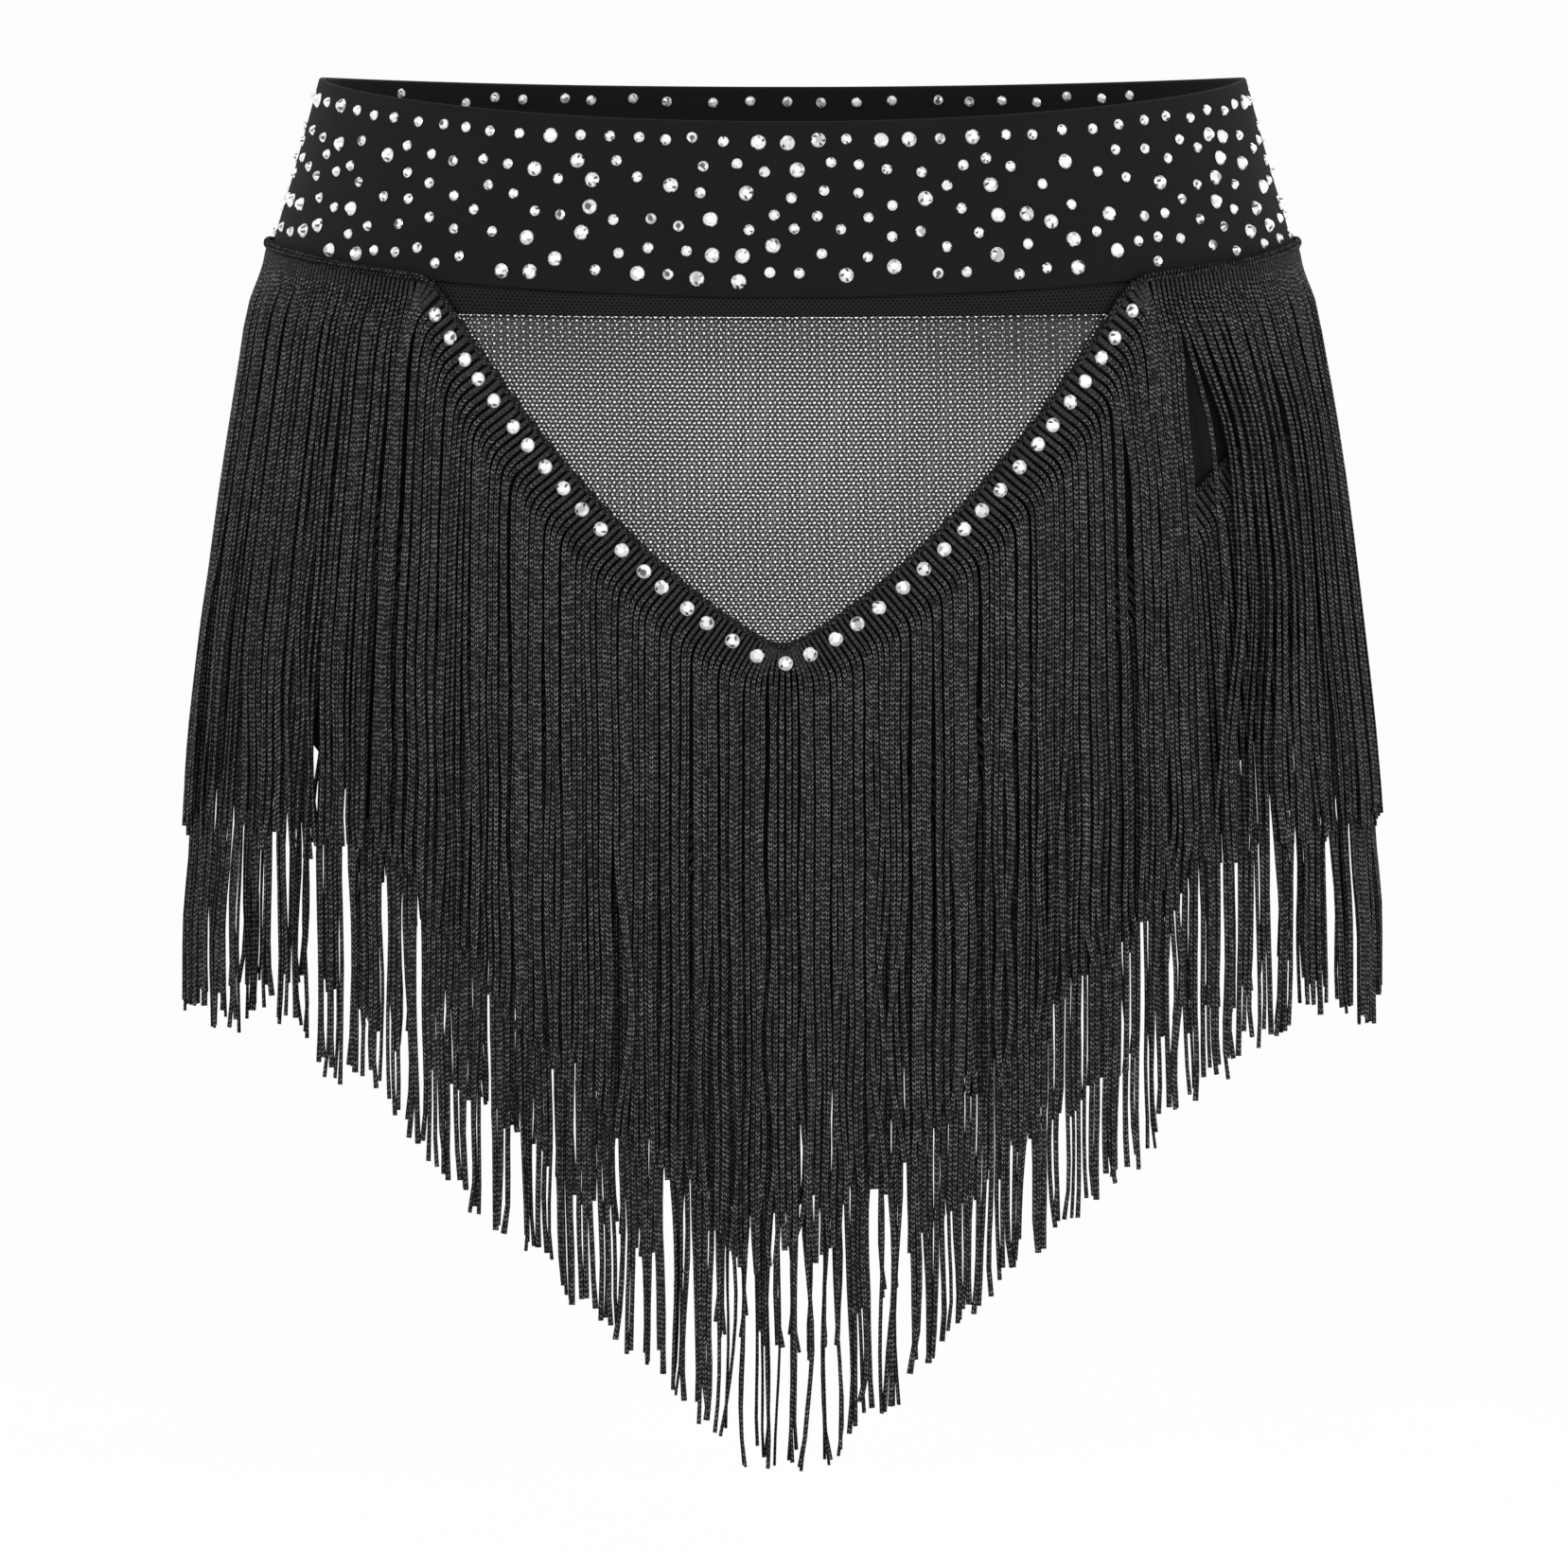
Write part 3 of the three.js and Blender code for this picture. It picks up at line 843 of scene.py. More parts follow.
# Partings of the upper front tier: place across, heights where each opens, is widest, starts to
# close and is closed, and its width.
PARTINGS = (
    (118.0, -43, -86, -118, -190, 12.0),
    (141.0, -52, -76, -90, -130, 2.6),
    (91.0, -72, -98, -130, -185, 2.4),
    (145.5, -135, -188, -300, -400, 3.2),
    (-147.5, -145, -196, -300, -400, 3.2),
    (-160.0, -145, -196, -300, -400, 3.6),
)
# Gaps of the lower front tier as they are seen at the depth of the side seams: place across,
# height where each opens, and width.
GAPS = (
    (-187, -262, 0.8), (-178, -211, 0.9), (-175.5, -221, 0.8), (-172.8, -216, 0.8),
    (-169, -213, 1.3), (-166.4, -235, 0.9), (-163.7, -230, 0.9), (-159.6, -186, 2.8),
    (-155.7, -208, 1.3), (-153.9, -230, 0.8), (-151, -215, 1.2), (-147.8, -188, 2.4),
    (-137, -220, 1.3), (-125, -230, 1.4), (-119, -247, 1.1), (-114, -238, 1.8), (-104, -266, 0.9),
    (-98.5, -284, 1.3), (-93, -264, 2.7), (-84, -269, 3.4), (-78, -290, 1), (-71.5, -270, 1.2),
    (-65, -262, 1.2), (-58.5, -280, 1.4), (-52, -300, 1.2), (-45, -330, 1.6), (-41, -350, 1.4),
    (-36, -315, 3.1), (-29.5, -345, 2), (-22, -350, 1.8), (-15, -333, 3.4), (-10.5, -338, 2.4),
    (-3, -322, 1.8), (0.5, -330, 2.6), (6.5, -328, 3.2), (10.5, -320, 3.8), (15.5, -332, 2.6),
    (19.5, -340, 2.2), (29, -306, 2.8), (33, -326, 1.7), (37.5, -319, 1.7), (44, -330, 1),
    (49, -350, 1.2), (54, -338, 1), (60, -318, 1), (66, -328, 1.1), (72, -300, 1.1), (77, -304, 2),
    (83, -290, 1.1), (88, -280, 1.2), (94, -270, 1), (100, -262, 1), (107, -300, 1.2),
    (113, -240, 1.9), (117.5, -266, 0.9), (121.5, -272, 1), (125.5, -257, 1.2), (131, -240, 1.1),
    (138, -232, 1), (142.5, -196, 1.2), (148, -228, 1.8), (153.5, -218, 2.1), (160.5, -214, 2.6),
    (171, -215, 2.6), (177.5, -230, 1), (184, -240, 1),
)
# A gap opens from this far above the height in the table to this far below it.
GAP_RISE = 26 * MM
GAP_FALL = 14 * MM
# Between these distances from the centre, the lower back tier hangs without gaps.
LEG_PLACES = (42 * MM, 110 * MM)
# Beside the tip of the V the cords of the upper front tier are longer.
LONG_TIP = (-3 * MM, 11 * MM, 11 * MM)
# How far from a parting its push has faded, and the share that the one loose cord in it takes.
PARTING_FADE = 34 * MM
LOOSE_SHARE = 0.5
# How close the cords of a bundle hang, least and most.
TIGHT = (1.4 * MM, 1.75 * MM)
# The spread of the cords' own lengths and of the bundles' ends, and the most of either.
OWN_LENGTH = 2 * MM
JAG = 2.4 * MM
MOST_JAG = 5 * MM
# Least and most length of a bundle's wave, and of a cord's own.
BUNDLE_WAVE = (50 * MM, 100 * MM)
OWN_WAVE = (35 * MM, 80 * MM)
# The share of stray cords, and how far they stray, least and most.
STRAYS = {"upper": 0.05, "lower": 0.03}
STRAY_REACH = (2 * MM, 4.5 * MM)


def sewn_part(tier, face, header):
    """How much of each cord is sewn down. It is short beside the corner of the tape."""
    drop = flat_header(tier, face, header) - header_line(tier, face, header)
    below_corner = mix(0.3, 1, ease(4 * MM, 36 * MM, drop))
    return mix(SEWN_LEVEL, SEWN_STEEP, steepness(tier, face, header) * below_corner)


def bend_paths(tier, face, header):
    """Angles and heights of cords from the header, square over the tape, then round to plumb."""
    tilt = header_tilt(tier, face, header)
    sewn = sewn_part(tier, face, header)
    z = header_line(tier, face, header)
    run = np.linspace(0, SEWN_STEEP + BEND_LENGTH, BEND_STEPS)
    angles, heights = [header], [z]
    for a, b in zip(run[:-1], run[1:]):
        angle, z = angles[-1], heights[-1]
        step = (b - a) / FINE_STEPS
        for i in range(FINE_STEPS):
            lean = tilt * (1 - ease(0, 1, (a + step * (i + 0.5) - sewn) / BEND_LENGTH))
            angle = angle + np.sin(lean) * step / stretch(face, angle, z)
            z = z - np.cos(lean) * step
        angles.append(angle)
        heights.append(z)
    return run, angles, heights


def spaced_headers(tier, face, pitch, steps=2400):
    """Header angles of cords that hang a pitch apart below the tape, and closer below a V."""
    trail = np.linspace(EDGE_ANGLE, math.pi - EDGE_ANGLE, steps)
    _, angles, heights = bend_paths(tier, face, trail)
    points = on_surface(face, angles[-1], heights[-1])
    level = np.linalg.norm(np.diff(points, axis=0)[:, :2], axis=1)
    run = running(level * np.sign(np.diff(angles[-1])))
    run = np.maximum.accumulate(run) + 1e-9 * np.arange(steps)
    inside = (angles[-1] > EDGE_ANGLE) & (angles[-1] < math.pi - EDGE_ANGLE)
    steep = steepness(tier, face, trail)
    places = running(np.diff(run) / mix(1, V_PITCH[tier], steep[1:]))
    header = np.interp(evenly(*places[inside][[0, -1]], pitch), places, trail)
    # Where the tape turns a corner, more cords fan out.
    apart = np.linalg.norm(np.diff(header_points(tier, face, header), axis=0), axis=1)
    more = np.maximum(np.rint(apart / (FAN_SPACE * pitch)).astype(int) - 1, 0)
    fan = [np.linspace(header[i], header[i + 1], more[i] + 2)[1:-1] for i in np.flatnonzero(more)]
    header = np.sort(np.concatenate([header, *fan]))
    return header, np.interp(header, trail, run)


def bundle_cords(rng, run, pitch):
    """The bundle of each cord of an upper tier, where its end goes, and how crowded it hangs."""
    count = len(run)
    sizes = [size for size, _ in BUNDLES]
    odds = np.array([share for _, share in BUNDLES])
    end, crowd, bundle = np.zeros(count), np.zeros(count), np.zeros(count, int)
    i = 0
    while i < count:
        size = int(rng.choice(sizes, p=odds / odds.sum()))
        members = np.arange(i, min(i + size, count))
        tight = min(pitch, rng.uniform(*TIGHT))
        centre = run[members].mean() + rng.normal(0, 0.4) * MM
        end[members] = centre + (np.arange(len(members)) - (len(members) - 1) / 2) * tight
        crowd[members] = 1 - tight / pitch
        bundle[members] = bundle.max() + 1
        i += size
    return bundle, end, crowd


def gap_places(face, edge):
    """The gaps of a lower tier from +X to -X, between its two side seams."""
    place, top, width = np.array(sorted(GAPS, reverse=True)).T * MM
    deep = size_at(place - 1, face) * np.sqrt(np.maximum(1 - (place / edge) ** 2, 0))
    away = deep if face == "back" else -deep
    place = place * (VIEW_DISTANCE + away) / VIEW_DISTANCE
    if face == "back":
        width = 1.3 * width + 1 * MM
        clear = (np.abs(place) < LEG_PLACES[0]) | (np.abs(place) > LEG_PLACES[1])
        clear &= np.abs(place) < edge - 2 * MM
        place, top, width = place[clear], top[clear], width[clear]
    place = np.concatenate([[edge], place, [-edge]])
    top = np.concatenate([top[:1], top, top[-1:]])
    return place, top, np.concatenate([[0], width / 2, [0]])


def open_gaps(face, angle, z, cord_width):
    """Moves the cords of a lower tier clear of its gaps, and says how crowded each then hangs."""
    last, low = angle[:, -1], z[:, -1]
    edge = float(size_at(low[0], "width")) - 0.2 * MM
    place, top, half = gap_places(face, edge)
    x = size_at(low, "width") * np.cos(last)
    bundle = np.clip(np.searchsorted(-place, -x) - 1, 0, len(place) - 2)
    seen = cord_width * size_at(low, "width") * np.sin(last) / stretch(face, last, low)
    aim, crowd, between = x.copy(), 0 * x, 0 * x + 0.5
    for i in np.unique(bundle):
        members = np.flatnonzero(bundle == i)
        high = place[i] - half[i] - seen[members[0]] / 2
        end = place[i + 1] + half[i + 1] + seen[members[-1]] / 2
        if high < end:
            high = end = (high + end) / 2
        between[members] = (np.arange(len(members)) + 0.5) / len(members)
        aim[members] = (high + end) / 2
        if len(members) > 1:
            aim[members] = np.linspace(high, end, len(members))
            pitch = (high - end) / (len(members) - 1)
            crowd[members] = np.clip(1 - pitch / seen[members].mean(), 0, 1)
    here, after = (
        ease(-height - GAP_RISE, -height + GAP_FALL, -z.T).T for height in (top[bundle], top[bundle + 1]))
    opened = mix(here, after, between[:, None])
    shift = np.arccos(np.clip(aim / size_at(low, "width"), -1, 1)) - last
    return bundle, angle + shift[:, None] * opened, crowd, opened


def part_sideways(tier, face, across, z):
    """How far the cords of the upper front tier are pushed aside at its partings."""
    push = 0 * z
    if (tier, face) != ("upper", "front"):
        return push
    for place, top, widest, closing, closed, width in PARTINGS:
        behind = across - place * MM
        opened = ease(-top * MM, -widest * MM, -z) * mix(1, 0.12, ease(-closing * MM, -closed * MM, -z))
        beyond = (behind > 0) * np.exp(-np.maximum(behind, 0) / PARTING_FADE)
        if width > 10:
            first = np.argmin(np.where(behind > 0, behind, 1))
            beyond[first] *= LOOSE_SHARE
        push = push + width * MM * beyond[:, None] * opened
    return push


def cord_rows(tier, face, settings):
    """Every cord of one fringe, as tubes."""
    rng = np.random.default_rng(SEED[tier, face])
    pitch = settings.pitch if tier == "upper" else settings.lower_pitch
    header, hang = spaced_headers(tier, face, pitch)
    count = len(header)
    run, angle, z = bend_paths(tier, face, header)
    start_angle, start_z = angle[-1], z[-1]
    across = size_at(z[0], "width") * np.cos(header)
    length = settings.length + np.clip(rng.normal(0, OWN_LENGTH, count), -MOST_JAG, MOST_JAG)
    if (tier, face) == ("upper", "front"):
        place, reach, more = LONG_TIP
        length = length + more * (np.abs(across - place) < reach)
    if tier == "upper":
        bundle, end, crowd = bundle_cords(rng, hang, pitch)
    jag = np.clip(rng.normal(0, JAG, count), -MOST_JAG, MOST_JAG)
    if tier == "upper":
        length = length + jag[bundle]

    hang_steps = RINGS - BEND_STEPS
    for i in range(1, hang_steps + 1):
        height = start_z - (length - run[-1]) * i / hang_steps
        angle.append(hang_angle(start_angle, start_z, height))
        z.append(height)
    angle, z = np.stack(angle, axis=1), np.stack(z, axis=1)
    along = np.concatenate([
        np.tile(run, (count, 1)),
        run[-1] + (length - run[-1])[:, None] * np.arange(1, hang_steps + 1) / hang_steps], axis=1)
    share = along / length[:, None]
    if tier == "lower":
        bundle, angle, crowd, opened = open_gaps(face, angle, z, settings.width)
        z = z - jag[bundle][:, None] * share
        aside = 0 * z
    else:
        opened = ease(0.03, 0.65, share)
        aside = opened * (end - hang)[:, None]
        aside = aside + rng.normal(0, 0.3, (count, 1)) * MM * ease(6 * MM, 24 * MM, along)

    # The cords of a bundle sway together, and a small bundle sways more.
    members = np.bincount(bundle)
    few = np.where(members[bundle] < 3, 2.6, 1.0)[:, None]
    wave = rng.uniform(*BUNDLE_WAVE, count)[bundle][:, None]
    phase = rng.uniform(0, 2 * math.pi, count)[bundle][:, None]
    sway = settings.wave * few * rng.uniform(0.5, 1.2, count)[bundle][:, None]
    aside = aside + sway * share * np.sin(2 * math.pi * along / wave + phase)
    own_wave = rng.uniform(*OWN_WAVE, (count, 1))
    own_phase = rng.uniform(0, 2 * math.pi, (count, 1))
    aside = aside + 0.4 * settings.wave * share * np.sin(2 * math.pi * along / own_wave + own_phase)
    aside = aside + rng.normal(0, 0.25, (count, 1)) * MM * ease(0.6, 1, share)
    aside = aside + rng.normal(0, 1.0, (count, 1)) * MM * ease(0.9, 1.03, share) ** 2
    stray = (rng.random((count, 1)) < STRAYS[tier]) * rng.choice([-1, 1], (count, 1))
    stray = stray * rng.uniform(*STRAY_REACH, (count, 1))
    aside = aside + stray * np.sin(math.pi * ease(0.45, 1.1, share))
    # The partings push cords towards +X, and the angle falls that way.
    pushed = part_sideways(tier, face, across, z)
    aside = aside - pushed
    angle = np.clip(angle + aside / stretch(face, angle, z), EDGE_ANGLE / 2, math.pi - EDGE_ANGLE / 2)

    layer = (np.arange(count) % 2 - 0.5)[:, None]
    squeezed = np.clip(crowd[:, None] * opened + 0.15 + pushed / (9 * MM), 0, 1)
    free = ease(6 * MM, 24 * MM, along)
    out = mix(ON_TAPE, HANGING[tier], free)
    out = out + 1.2 * MM * layer * squeezed * free
    out = out + 0.3 * MM * rng.normal(0, 1, (count, 1)) * ease(5 * MM, 26 * MM, along)
    out = out + np.abs(stray) * 0.25 * ease(0.4, 0.7, share)
    if tier == "lower":
        out = out + SIDE_FLARE * ease(0.85, 0.97, np.abs(np.cos(angle))) * ease(0.7, 0.88, share)
    centres = on_surface(face, angle, z, out)

    side, lift = sides_of(centres, outward(face, angle, z))
    twist = rng.normal(0, 9, (count, 1)) + rng.normal(0, 20, (count, 1)) * ease(0.25, 0.9, share)
    # Crowded cords, and single ones beside the middle, turn edge on.
    slim = (ease(26 * MM, 14 * MM, np.abs(across)) * (members[bundle] < 4))[:, None]
    edge_on = np.maximum(crowd[:, None], slim * (tier == "lower")) * opened
    twist = np.radians(twist + 75 * edge_on * rng.choice([-1, 1], (count, 1))) * free
    cos, sin = np.cos(twist)[..., None], np.sin(twist)[..., None]
    side, lift = side * cos + lift * sin, lift * cos - side * sin

    swell = 1 + 0.05 * np.sin(2 * math.pi * along / (17 * MM) + 3 * own_phase)
    frayed = 1 + 0.12 * ease(0.985, 1, share)
    # On the tape a cord is as wide as its share of the tape.
    spacing = np.gradient(run_along(header_points(tier, face, header)))
    wide = np.clip(spacing * 0.84, settings.width * 0.75, settings.width * 1.5)[:, None]
    half_width = mix(wide, settings.width, ease(8 * MM, 18 * MM, along)) / 2 * swell * frayed
    deep = mix(1.5, 1, ease(8 * MM, 22 * MM, along))
    half_depth = settings.depth / 2 * deep * (2 - swell) * frayed
    return tubes(centres, side, lift, half_width, half_depth, sewn=sewn_part(tier, face, header))


def tape_edge(tier, face, settings):
    """The crocheted edge of a fringe tape: two strands that cross in every loop."""
    step = settings.pitch / 4
    line = tape_angles(tier, face, 0.0, step, 4800)
    z = header_line(tier, face, line)
    tilt = header_tilt(tier, face, line)
    # The edge is full where the tape runs level, and drawn thin along the V.
    full = ease(math.radians(30), math.radians(8), np.abs(tilt))
    parts = []
    for strand in (0, 1):
        phase = 2 * math.pi * np.arange(len(line)) * step / EDGE_LOOP + strand * math.pi
        reach = (mix(0.6, 1.0, full) * np.sin(phase) + mix(0.5, 0.2, full)) * MM
        low = line + reach * np.sin(tilt) / stretch(face, line, z)
        low = np.clip(low, EDGE_ANGLE / 2, math.pi - EDGE_ANGLE / 2)
        out = (mix(1.8, 2.3, full) + 0.5 * np.cos(phase)) * MM
        centres = on_surface(face, low, z - reach * np.cos(tilt), out)[None]
        size = mix(0.45, 0.5, full)[None] * MM
        parts.append(tubes(centres, *sides_of(centres, outward(face, low, z)[None]), size, size, 5))
    return parts


def tape_back(tier, face, columns=161, rows=4):
    """The woven strip that the cords are sewn to, with the wall of a thin cloth."""
    angle = np.linspace(EDGE_ANGLE, math.pi - EDGE_ANGLE, columns)
    reach = TAPE_START + TAPE_WIDTH * np.linspace(0, 1, rows)[:, None]
    low, z = below_header(tier, face, angle, reach)
    outer, inner = (on_surface(face, low, z, out) for out in TAPE_FACES)
    rings = np.concatenate([outer, inner[::-1]]).swapaxes(0, 1)
    points, faces, uv = close_tubes(rings[None], np.arange(columns)[None] * 2 * MM)
    uv[:, 0] = 0.25
    return points, faces, uv


# Stones
STONE_SIDES = 12
STONE_RISE = 0.36
# How far out the backs of the stones lie, on the cloth and on the tape.
ON_CLOTH = 0.05 * MM
ON_CORDS = 2 * MM
# The row of stones inside the back band: height where the band's width is taken, height at the
# sides, and how far it strays.
INNER_LEVEL = 17 * MM
INNER_HEIGHT = 21 * MM
INNER_STRAY = 0.5 * MM
# Clear of stones: the ends of a band half, the rows above its scatter, and the foot of the band.
CLEAR_END = 2 * MM
CLEAR_TOP = 12.5 * MM
CLEAR_FOOT = 4.5 * MM
MOST_TRIES = 60000
# How far below the edge of the tape the row of stones on the V lies.
STONE_REACH = 5.5 * MM
# Painted reflections: tones that the facets throw back, and how often each comes.
FACET_REFLECTIONS = ((0.08, 0.09), (0.4, 0.1), (0.75, 0.15), (0.95, 0.26), (1.0, 0.4))
# Places of the stones on the inner face of the back band, across from the centre in mm.
INNER_ROW = (-123, -102, -93, -84, -70.5, -62, -48.5, -37.5, -22.5, -10.5, 1.5, 12.5, 24, 35.5,
             50.5, 60.5, 71, 82, 92, 103, 112)


def cut_stone():
    """One flat-backed stone of unit radius, cut with two rows of facets and a table."""
    clear_selection()
    bpy.ops.mesh.primitive_cone_add(
        vertices=STONE_SIDES, radius1=1.0, radius2=0.86, depth=0.26, end_fill_type="NGON",
        location=(0, 0, 0.13))
    stone = bpy.context.object
    bpy.ops.object.mode_set(mode="EDIT")
    bpy.ops.mesh.select_all(action="DESELECT")
    work = bmesh.from_edit_mesh(stone.data)
    work.faces.ensure_lookup_table()
    top = max(work.faces, key=lambda face: face.calc_center_median().z)
    top.select = True
    bmesh.update_edit_mesh(stone.data)
    bpy.ops.mesh.extrude_region_move(TRANSFORM_OT_translate={"value": (0, 0, 0.44)})
    bpy.ops.transform.resize(value=(0.52, 0.52, 1))
    bpy.ops.transform.rotate(value=math.pi / STONE_SIDES, orient_axis="Z", center_override=(0, 0, 0))
    bpy.ops.object.mode_set(mode="OBJECT")
    select_only(stone)
    bpy.ops.object.transform_apply(location=True, rotation=True, scale=True)
    points = np.array([v.co[:] for v in stone.data.vertices])
    points[:, 2] *= STONE_RISE / points[:, 2].max() * 2
    # The extruded faces come in another order each time, and the tones are dealt by their order.
    faces = []
    for side in stone.data.polygons:
        corners = list(side.vertices)
        start = corners.index(min(corners))
        faces.append(corners[start:] + corners[:start])
    faces.sort()
    bpy.data.meshes.remove(stone.data)
    return points, faces


def set_stones(name, cut, face, angle, z, out, sizes, rng):
    """A piece of many stones, each with its own turn, slight tilt and painted facet reflections.

    Stones that lie below the surface face inwards.
    """
    shape, sides = cut
    places = on_surface(face, angle, z, out)
    normals = surface_normal(face, angle, z) * np.sign(out)
    points, faces, tones = [], [], []
    levels = [tone for tone, _ in FACET_REFLECTIONS]
    odds = [share for _, share in FACET_REFLECTIONS]
    for i, (place, normal, size) in enumerate(zip(places, normals, sizes)):
        tilt = Vector(normal + rng.normal(0, 0.05, 3)).normalized()
        turn = tilt.to_track_quat("Z", "Y").to_matrix() @ Matrix.Rotation(rng.uniform(0, math.tau), 3, "Z")
        local = (shape * size / 2) @ np.array(turn).T
        points.append(local + place)
        faces += [[v + i * len(shape) for v in side] for side in sides]
        # Each facet gets a painted reflection, a tone that it throws back.
        for side in sides:
            tone = rng.choice(levels, p=odds) * rng.uniform(0.85, 1.0)
            tones += [(tone, tone, min(tone * 1.02, 1.0), 1.0)] * len(side)
    piece = mesh_piece(name, np.concatenate(points), faces)
    facet_reflection = piece.data.color_attributes.new("facet_reflection", "FLOAT_COLOR", "CORNER")
    facet_reflection.data.foreach_set("color", np.array(tones).reshape(-1))
    finish_piece(piece, "stone", "stone")


def band_scatter(face, settings, rng):
    """Loose rows of stones on one half of the band, with a clear row under its top edge."""
    trail = np.linspace(0.004, math.pi - 0.004, 900)
    run = running(np.diff(trail) * stretch(face, trail[1:], 0.0))
    width = run[-1]
    foot = BAND_TOP - BAND_BOTTOM - CLEAR_FOOT
    chosen = []
    at = rng.uniform(2, 6) * MM
    while at < width - CLEAR_END:
        chosen.append((at, rng.normal(6.3, 0.5) * MM))
        at += rng.uniform(8.2, 11.5) * MM
    tries = 0
    while len(chosen) < settings.count and tries < MOST_TRIES:
        tries += 1
        spot = (rng.uniform(CLEAR_END, width - CLEAR_END), rng.uniform(CLEAR_TOP, foot))
        apart = settings.apart * mix(1.0, 0.8, min(tries / 20000, 1))
        if all((spot[0] - a) ** 2 + (spot[1] - b) ** 2 > apart ** 2 for a, b in chosen):
            chosen.append(spot)
    spots = np.array(chosen)
    angle = np.interp(spots[:, 0], run, trail)
    return angle, band_top(face, angle) - spots[:, 1]


def stone_sizes(rng, count, settings):
    large = rng.random(count) < settings.large_share
    return np.where(large, settings.large, settings.small)


def surface_normal(face, angle, z):
    """The direction square to the surface, with its slope up and down."""
    step = 0.5 * MM
    down = on_surface(face, angle, z - step) - on_surface(face, angle, z + step)
    level = outward(face, angle, z)
    side = np.cross(level, (0.0, 0.0, 1.0))
    normal = unit(np.cross(side, down))
    return normal * np.sign((normal * level).sum(axis=-1, keepdims=True))


# Settings
def length_setting(name, description, default, low, high):
    """A length that the user may change. The values are in mm."""
    return bpy.props.FloatProperty(
        name=name, description=description, subtype="DISTANCE", unit="LENGTH",
        default=default * MM, min=low * MM, max=high * MM)


def colour_setting(name, description, default):
    return bpy.props.FloatVectorProperty(
        name=name, description=description, subtype="COLOR", size=3, min=0, max=1, default=default)


class ShortsCloth(bpy.types.PropertyGroup):
    colour: colour_setting(
        "Knit colour", "Colour of the opaque knit", (0.0072, 0.0072, 0.0074))
    loop_width: length_setting(
        "Loop width", "Width of one knit loop", 0.6, 0.1, 5)
    rim: length_setting(
        "Folded edge", "Rounding of the band's folded edges", 0.8, 0.0, 1)


class ShortsNet(bpy.types.PropertyGroup):
    colour: colour_setting(
        "Net colour", "Colour of the net's threads", (0.016, 0.016, 0.0165))
    hole: length_setting(
        "Hole", "Half width of the round hole in each cell", 0.378, 0.05, 1)
    back_hole: length_setting(
        "Hole, back", "Half width of a hole in the more open back net", 0.66, 0.05, 1)


class ShortsFringe(bpy.types.PropertyGroup):
    colour: colour_setting(
        "Cord colour", "Middle colour of the cords", (0.017, 0.017, 0.0175))
    width: length_setting(
        "Cord width", "Width of a flat chain cord", 1.72, 0.3, 5)
    depth: length_setting(
        "Cord thickness", "Thickness of a flat chain cord", 0.95, 0.2, 5)
    pitch: length_setting(
        "Upper cord spacing", "Distance from one hanging cord to the next, upper tier", 1.8, 0.5, 10)
    lower_pitch: length_setting(
        "Lower cord spacing", "Distance from one hanging cord to the next, lower tier", 1.85, 0.5, 10)
    length: length_setting(
        "Fringe length", "Length of a cord with its sewn part", 179, 60, 400)
    stitch: length_setting(
        "Chain stitch", "Length of one stitch of the cord", 1.5, 0.3, 5)
    wave: length_setting(
        "Waviness", "How far a cord sways to either side", 0.45, 0.0, 5)


class ShortsStones(bpy.types.PropertyGroup):
    small: length_setting(
        "Small stone", "Width of a small stone", 3.4, 1, 10)
    large: length_setting(
        "Large stone", "Width of a large stone", 4.7, 1, 10)
    large_share: bpy.props.FloatProperty(
        name="Share of large stones", description="How many of the scattered stones are large",
        subtype="FACTOR", default=0.23, min=0.0, max=1.0)
    count: bpy.props.IntProperty(
        name="Stones on half the band", description="Number of stones on the front or back of the band",
        default=225, min=0, max=2000)
    apart: length_setting(
        "Stone spacing", "Least distance between scattered stones", 8.4, 4, 40)
    on_v: length_setting(
        "Stone on the V", "Width of a stone on the fringe header", 4.6, 1, 10)
    along_v: length_setting(
        "Spacing on the V", "Distance between stones along the fringe header", 8.6, 4, 40)


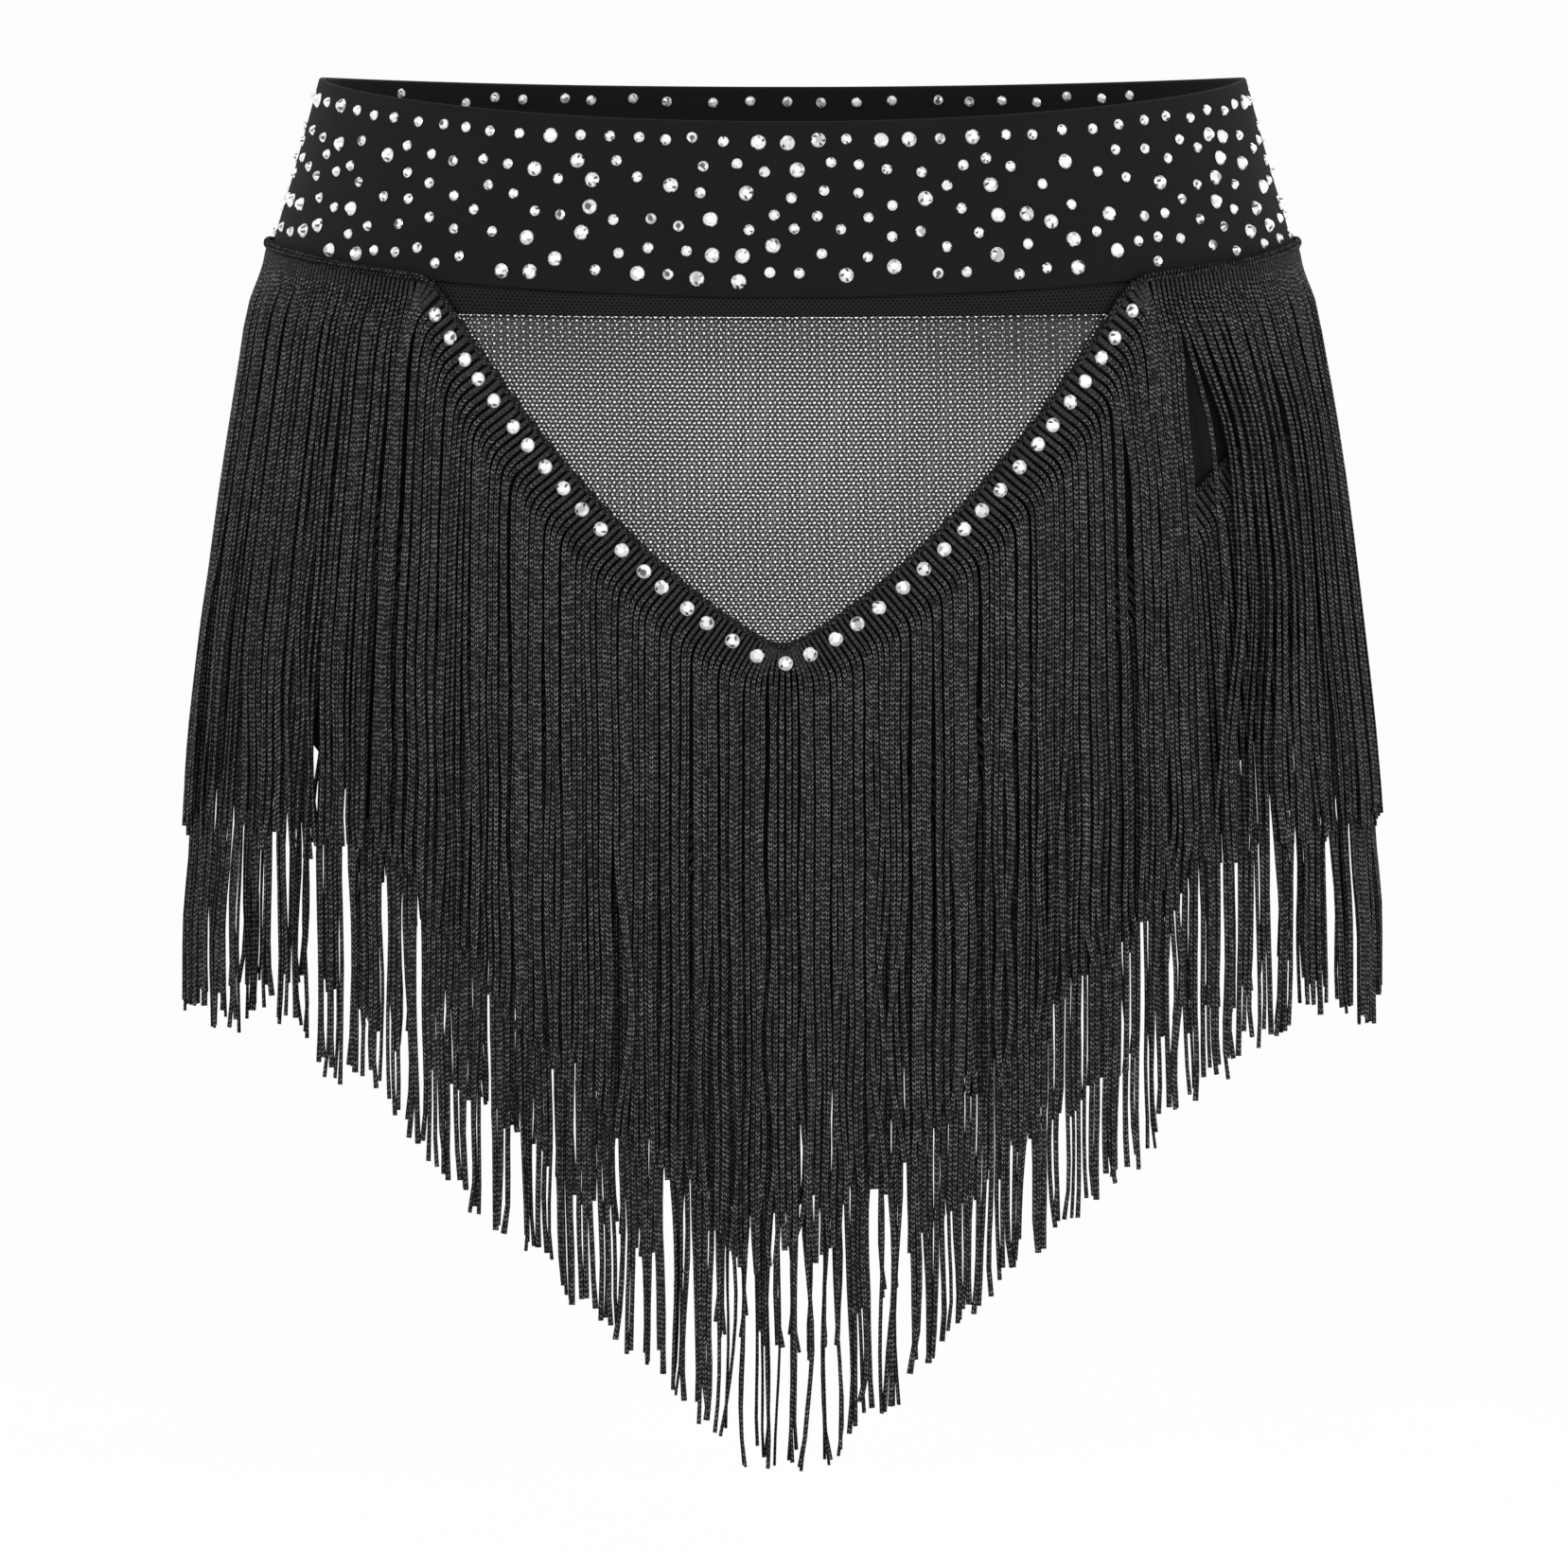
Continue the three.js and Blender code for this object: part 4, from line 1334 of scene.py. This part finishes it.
# Operators
class SHORTS_OT_stage(bpy.types.Operator):
    """Make the pale floor, the soft lights and the camera"""
    bl_idname = "shorts.stage"
    bl_label = "Stage"

    def execute(self, context):
        clear_selection()
        bpy.ops.mesh.primitive_circle_add(
            vertices=64, radius=60, fill_type="NGON", location=(0, 0, -0.75))
        floor = context.object
        floor.name = "pale_floor"
        bpy.ops.object.transform_apply(location=True)
        material, nodes, shader = new_material("Pale paper", 0.9, 0.0)
        place = nodes.add("ShaderNodeTexCoord").outputs["Object"]
        tone = nodes.spread(nodes.noise(place, 3.0), 0.3, 0.7)
        nodes.feed(shader.inputs["Base Color"], nodes.blend(tone, grey(0.05), grey(0.055)))
        shader.inputs["Emission Color"].default_value = grey(1.0)
        shader.inputs["Emission Strength"].default_value = 0.93
        floor.data.materials.append(material)

        world = bpy.data.worlds.new("Soft white room")
        context.scene.world = world
        world.use_nodes = True
        world.node_tree.nodes["Background"].inputs["Color"].default_value = grey(1.0)
        world.node_tree.nodes["Background"].inputs["Strength"].default_value = 0.985

        for name, place, size, power in LIGHTS:
            bpy.ops.object.light_add(type="AREA", location=place)
            light = context.object
            light.name = name
            light.data.size = size
            light.data.energy = power
            aim = Vector((0, 0, LIGHT_AIM)) - light.location
            light.rotation_euler = aim.to_track_quat("-Z", "Y").to_euler()

        away = Vector((0, -math.cos(VIEW_DOWN), math.sin(VIEW_DOWN)))
        bpy.ops.object.camera_add(location=Vector(VIEW_TARGET) + away * VIEW_DISTANCE)
        camera = context.object
        camera.name = "camera"
        camera.rotation_euler = (-away).to_track_quat("-Z", "Y").to_euler()
        camera.data.sensor_width = SENSOR
        camera.data.lens = SENSOR * VIEW_DISTANCE / (FRAME_PIXELS * PIXEL)
        camera.data.clip_end = 200
        context.scene.camera = camera
        context.scene.view_settings.view_transform = "Standard"
        return {"FINISHED"}


class SHORTS_OT_waistband(bpy.types.Operator):
    """Make the two halves of the doubled waistband"""
    bl_idname = "shorts.waistband"
    bl_label = "Waistband"

    def execute(self, context):
        for face in FACES:
            cloth_piece(f"band_{face}", band_points(face), "knit", "knit", f"waistband_{face}",
                        BAND_WALL, context.scene.shorts_cloth.rim)
        return {"FINISHED"}


class SHORTS_OT_net(bpy.types.Operator):
    """Make the sheer V insets and their turned edges"""
    bl_idname = "shorts.net"
    bl_label = "Net insets"

    def execute(self, context):
        for face in FACES:
            points = inset_points(face)
            net = cloth_piece(f"net_{face}", points, f"net_{face}", "mesh", f"mesh_inset_{face}")
            net_stretch_and_shade(net, points)
            cloth_piece(f"net_edge_{face}", strip_points(face), "strip", "binding",
                        f"mesh_binding_{face}", STRIP_WALL, 0.3 * MM)
        return {"FINISHED"}


class SHORTS_OT_panels(bpy.types.Operator):
    """Make the four opaque shorts panels"""
    bl_idname = "shorts.panels"
    bl_label = "Shorts panels"

    def execute(self, context):
        for face in FACES:
            for side, word in ((1, "left"), (-1, "right")):
                cloth_piece(f"panel_{face}_{word}", panel_points(face, side), "knit", "knit",
                            f"shorts_{face}_{word}", KNIT_WALL, 0.5 * MM)
        return {"FINISHED"}


class SHORTS_OT_fringe(bpy.types.Operator):
    """Make the two tiers of chain cord fringe and their tapes"""
    bl_idname = "shorts.fringe"
    bl_label = "Fringe"

    def execute(self, context):
        settings = context.scene.shorts_fringe
        for tier in TIERS:
            for face in FACES:
                cords = closed_piece(f"cords_{tier}_{face}", *cord_rows(tier, face, settings))
                finish_piece(cords, "cord", "cord", f"fringe_{tier}_{face}")
                parts = tape_edge(tier, face, settings) + [tape_back(tier, face)]
                tape = closed_piece(f"tape_{tier}_{face}", *join_parts(parts))
                finish_piece(tape, "edge", "cord")
        return {"FINISHED"}


class SHORTS_OT_stones(bpy.types.Operator):
    """Set the flat-backed stones on the band and along the V of the upper fringe"""
    bl_idname = "shorts.stones"
    bl_label = "Stones"

    def execute(self, context):
        settings = context.scene.shorts_stones
        cut = cut_stone()
        for face in FACES:
            rng = np.random.default_rng(5 if face == "front" else 8)
            angle, z = band_scatter(face, settings, rng)
            sizes = stone_sizes(rng, len(angle), settings)
            set_stones(f"band_stones_{face}", cut, face, angle, z, ON_CLOTH, sizes, rng)

            line = tape_angles("upper", face, STONE_REACH, settings.along_v)
            line = line + rng.uniform(-0.1, 0.1, len(line)) * np.gradient(line)
            steep = np.abs(header_tilt("upper", face, line)) > math.radians(28)
            line = line[steep | (np.abs(np.cos(line)) < 0.12)]
            low, z = below_header("upper", face, line, STONE_REACH)
            sizes = np.full(len(low), settings.on_v)
            set_stones(f"v_stones_{face}", cut, face, low, z, ON_CORDS, sizes, rng)

        rng = np.random.default_rng(13)
        width = float(size_at(INNER_LEVEL, "width")) - BAND_WALL
        angle = np.arccos(np.array(INNER_ROW) * MM / width)
        z = INNER_HEIGHT - band_dip("back", angle) + rng.normal(0, INNER_STRAY, len(angle))
        sizes = np.full(len(angle), settings.small)
        set_stones("inner_stones_back", cut, "back", angle, z, -BAND_WALL - ON_CLOTH, sizes, rng)
        return {"FINISHED"}


class SHORTS_PT_panel(bpy.types.Panel):
    """Lists the settings and the steps of the dance shorts"""
    bl_idname = "SHORTS_PT_panel"
    bl_label = "Dance shorts"
    bl_space_type = "VIEW_3D"
    bl_region_type = "UI"
    bl_category = "Dance shorts"

    def draw(self, context):
        for group in SETTINGS:
            box = self.layout.box()
            owner = getattr(context.scene, group)
            for name in owner.__annotations__:
                box.prop(owner, name)
        for step in STEPS:
            self.layout.operator(step.bl_idname)


SETTINGS = {
    "shorts_cloth": ShortsCloth,
    "shorts_net": ShortsNet,
    "shorts_fringe": ShortsFringe,
    "shorts_stones": ShortsStones,
}
STEPS = (
    SHORTS_OT_stage, SHORTS_OT_waistband, SHORTS_OT_net, SHORTS_OT_panels, SHORTS_OT_fringe,
    SHORTS_OT_stones,
)


def register():
    for kind in (*SETTINGS.values(), *STEPS, SHORTS_PT_panel):
        bpy.utils.register_class(kind)
    for name, kind in SETTINGS.items():
        setattr(bpy.types.Scene, name, bpy.props.PointerProperty(type=kind))


def unregister():
    for name in SETTINGS:
        delattr(bpy.types.Scene, name)
    for kind in reversed((*SETTINGS.values(), *STEPS, SHORTS_PT_panel)):
        bpy.utils.unregister_class(kind)


def main():
    register()
    bpy.ops.shorts.stage()
    bpy.ops.shorts.waistband()
    bpy.ops.shorts.net()
    bpy.ops.shorts.panels()
    bpy.ops.shorts.fringe()
    bpy.ops.shorts.stones()


if __name__ == "__main__":
    main()
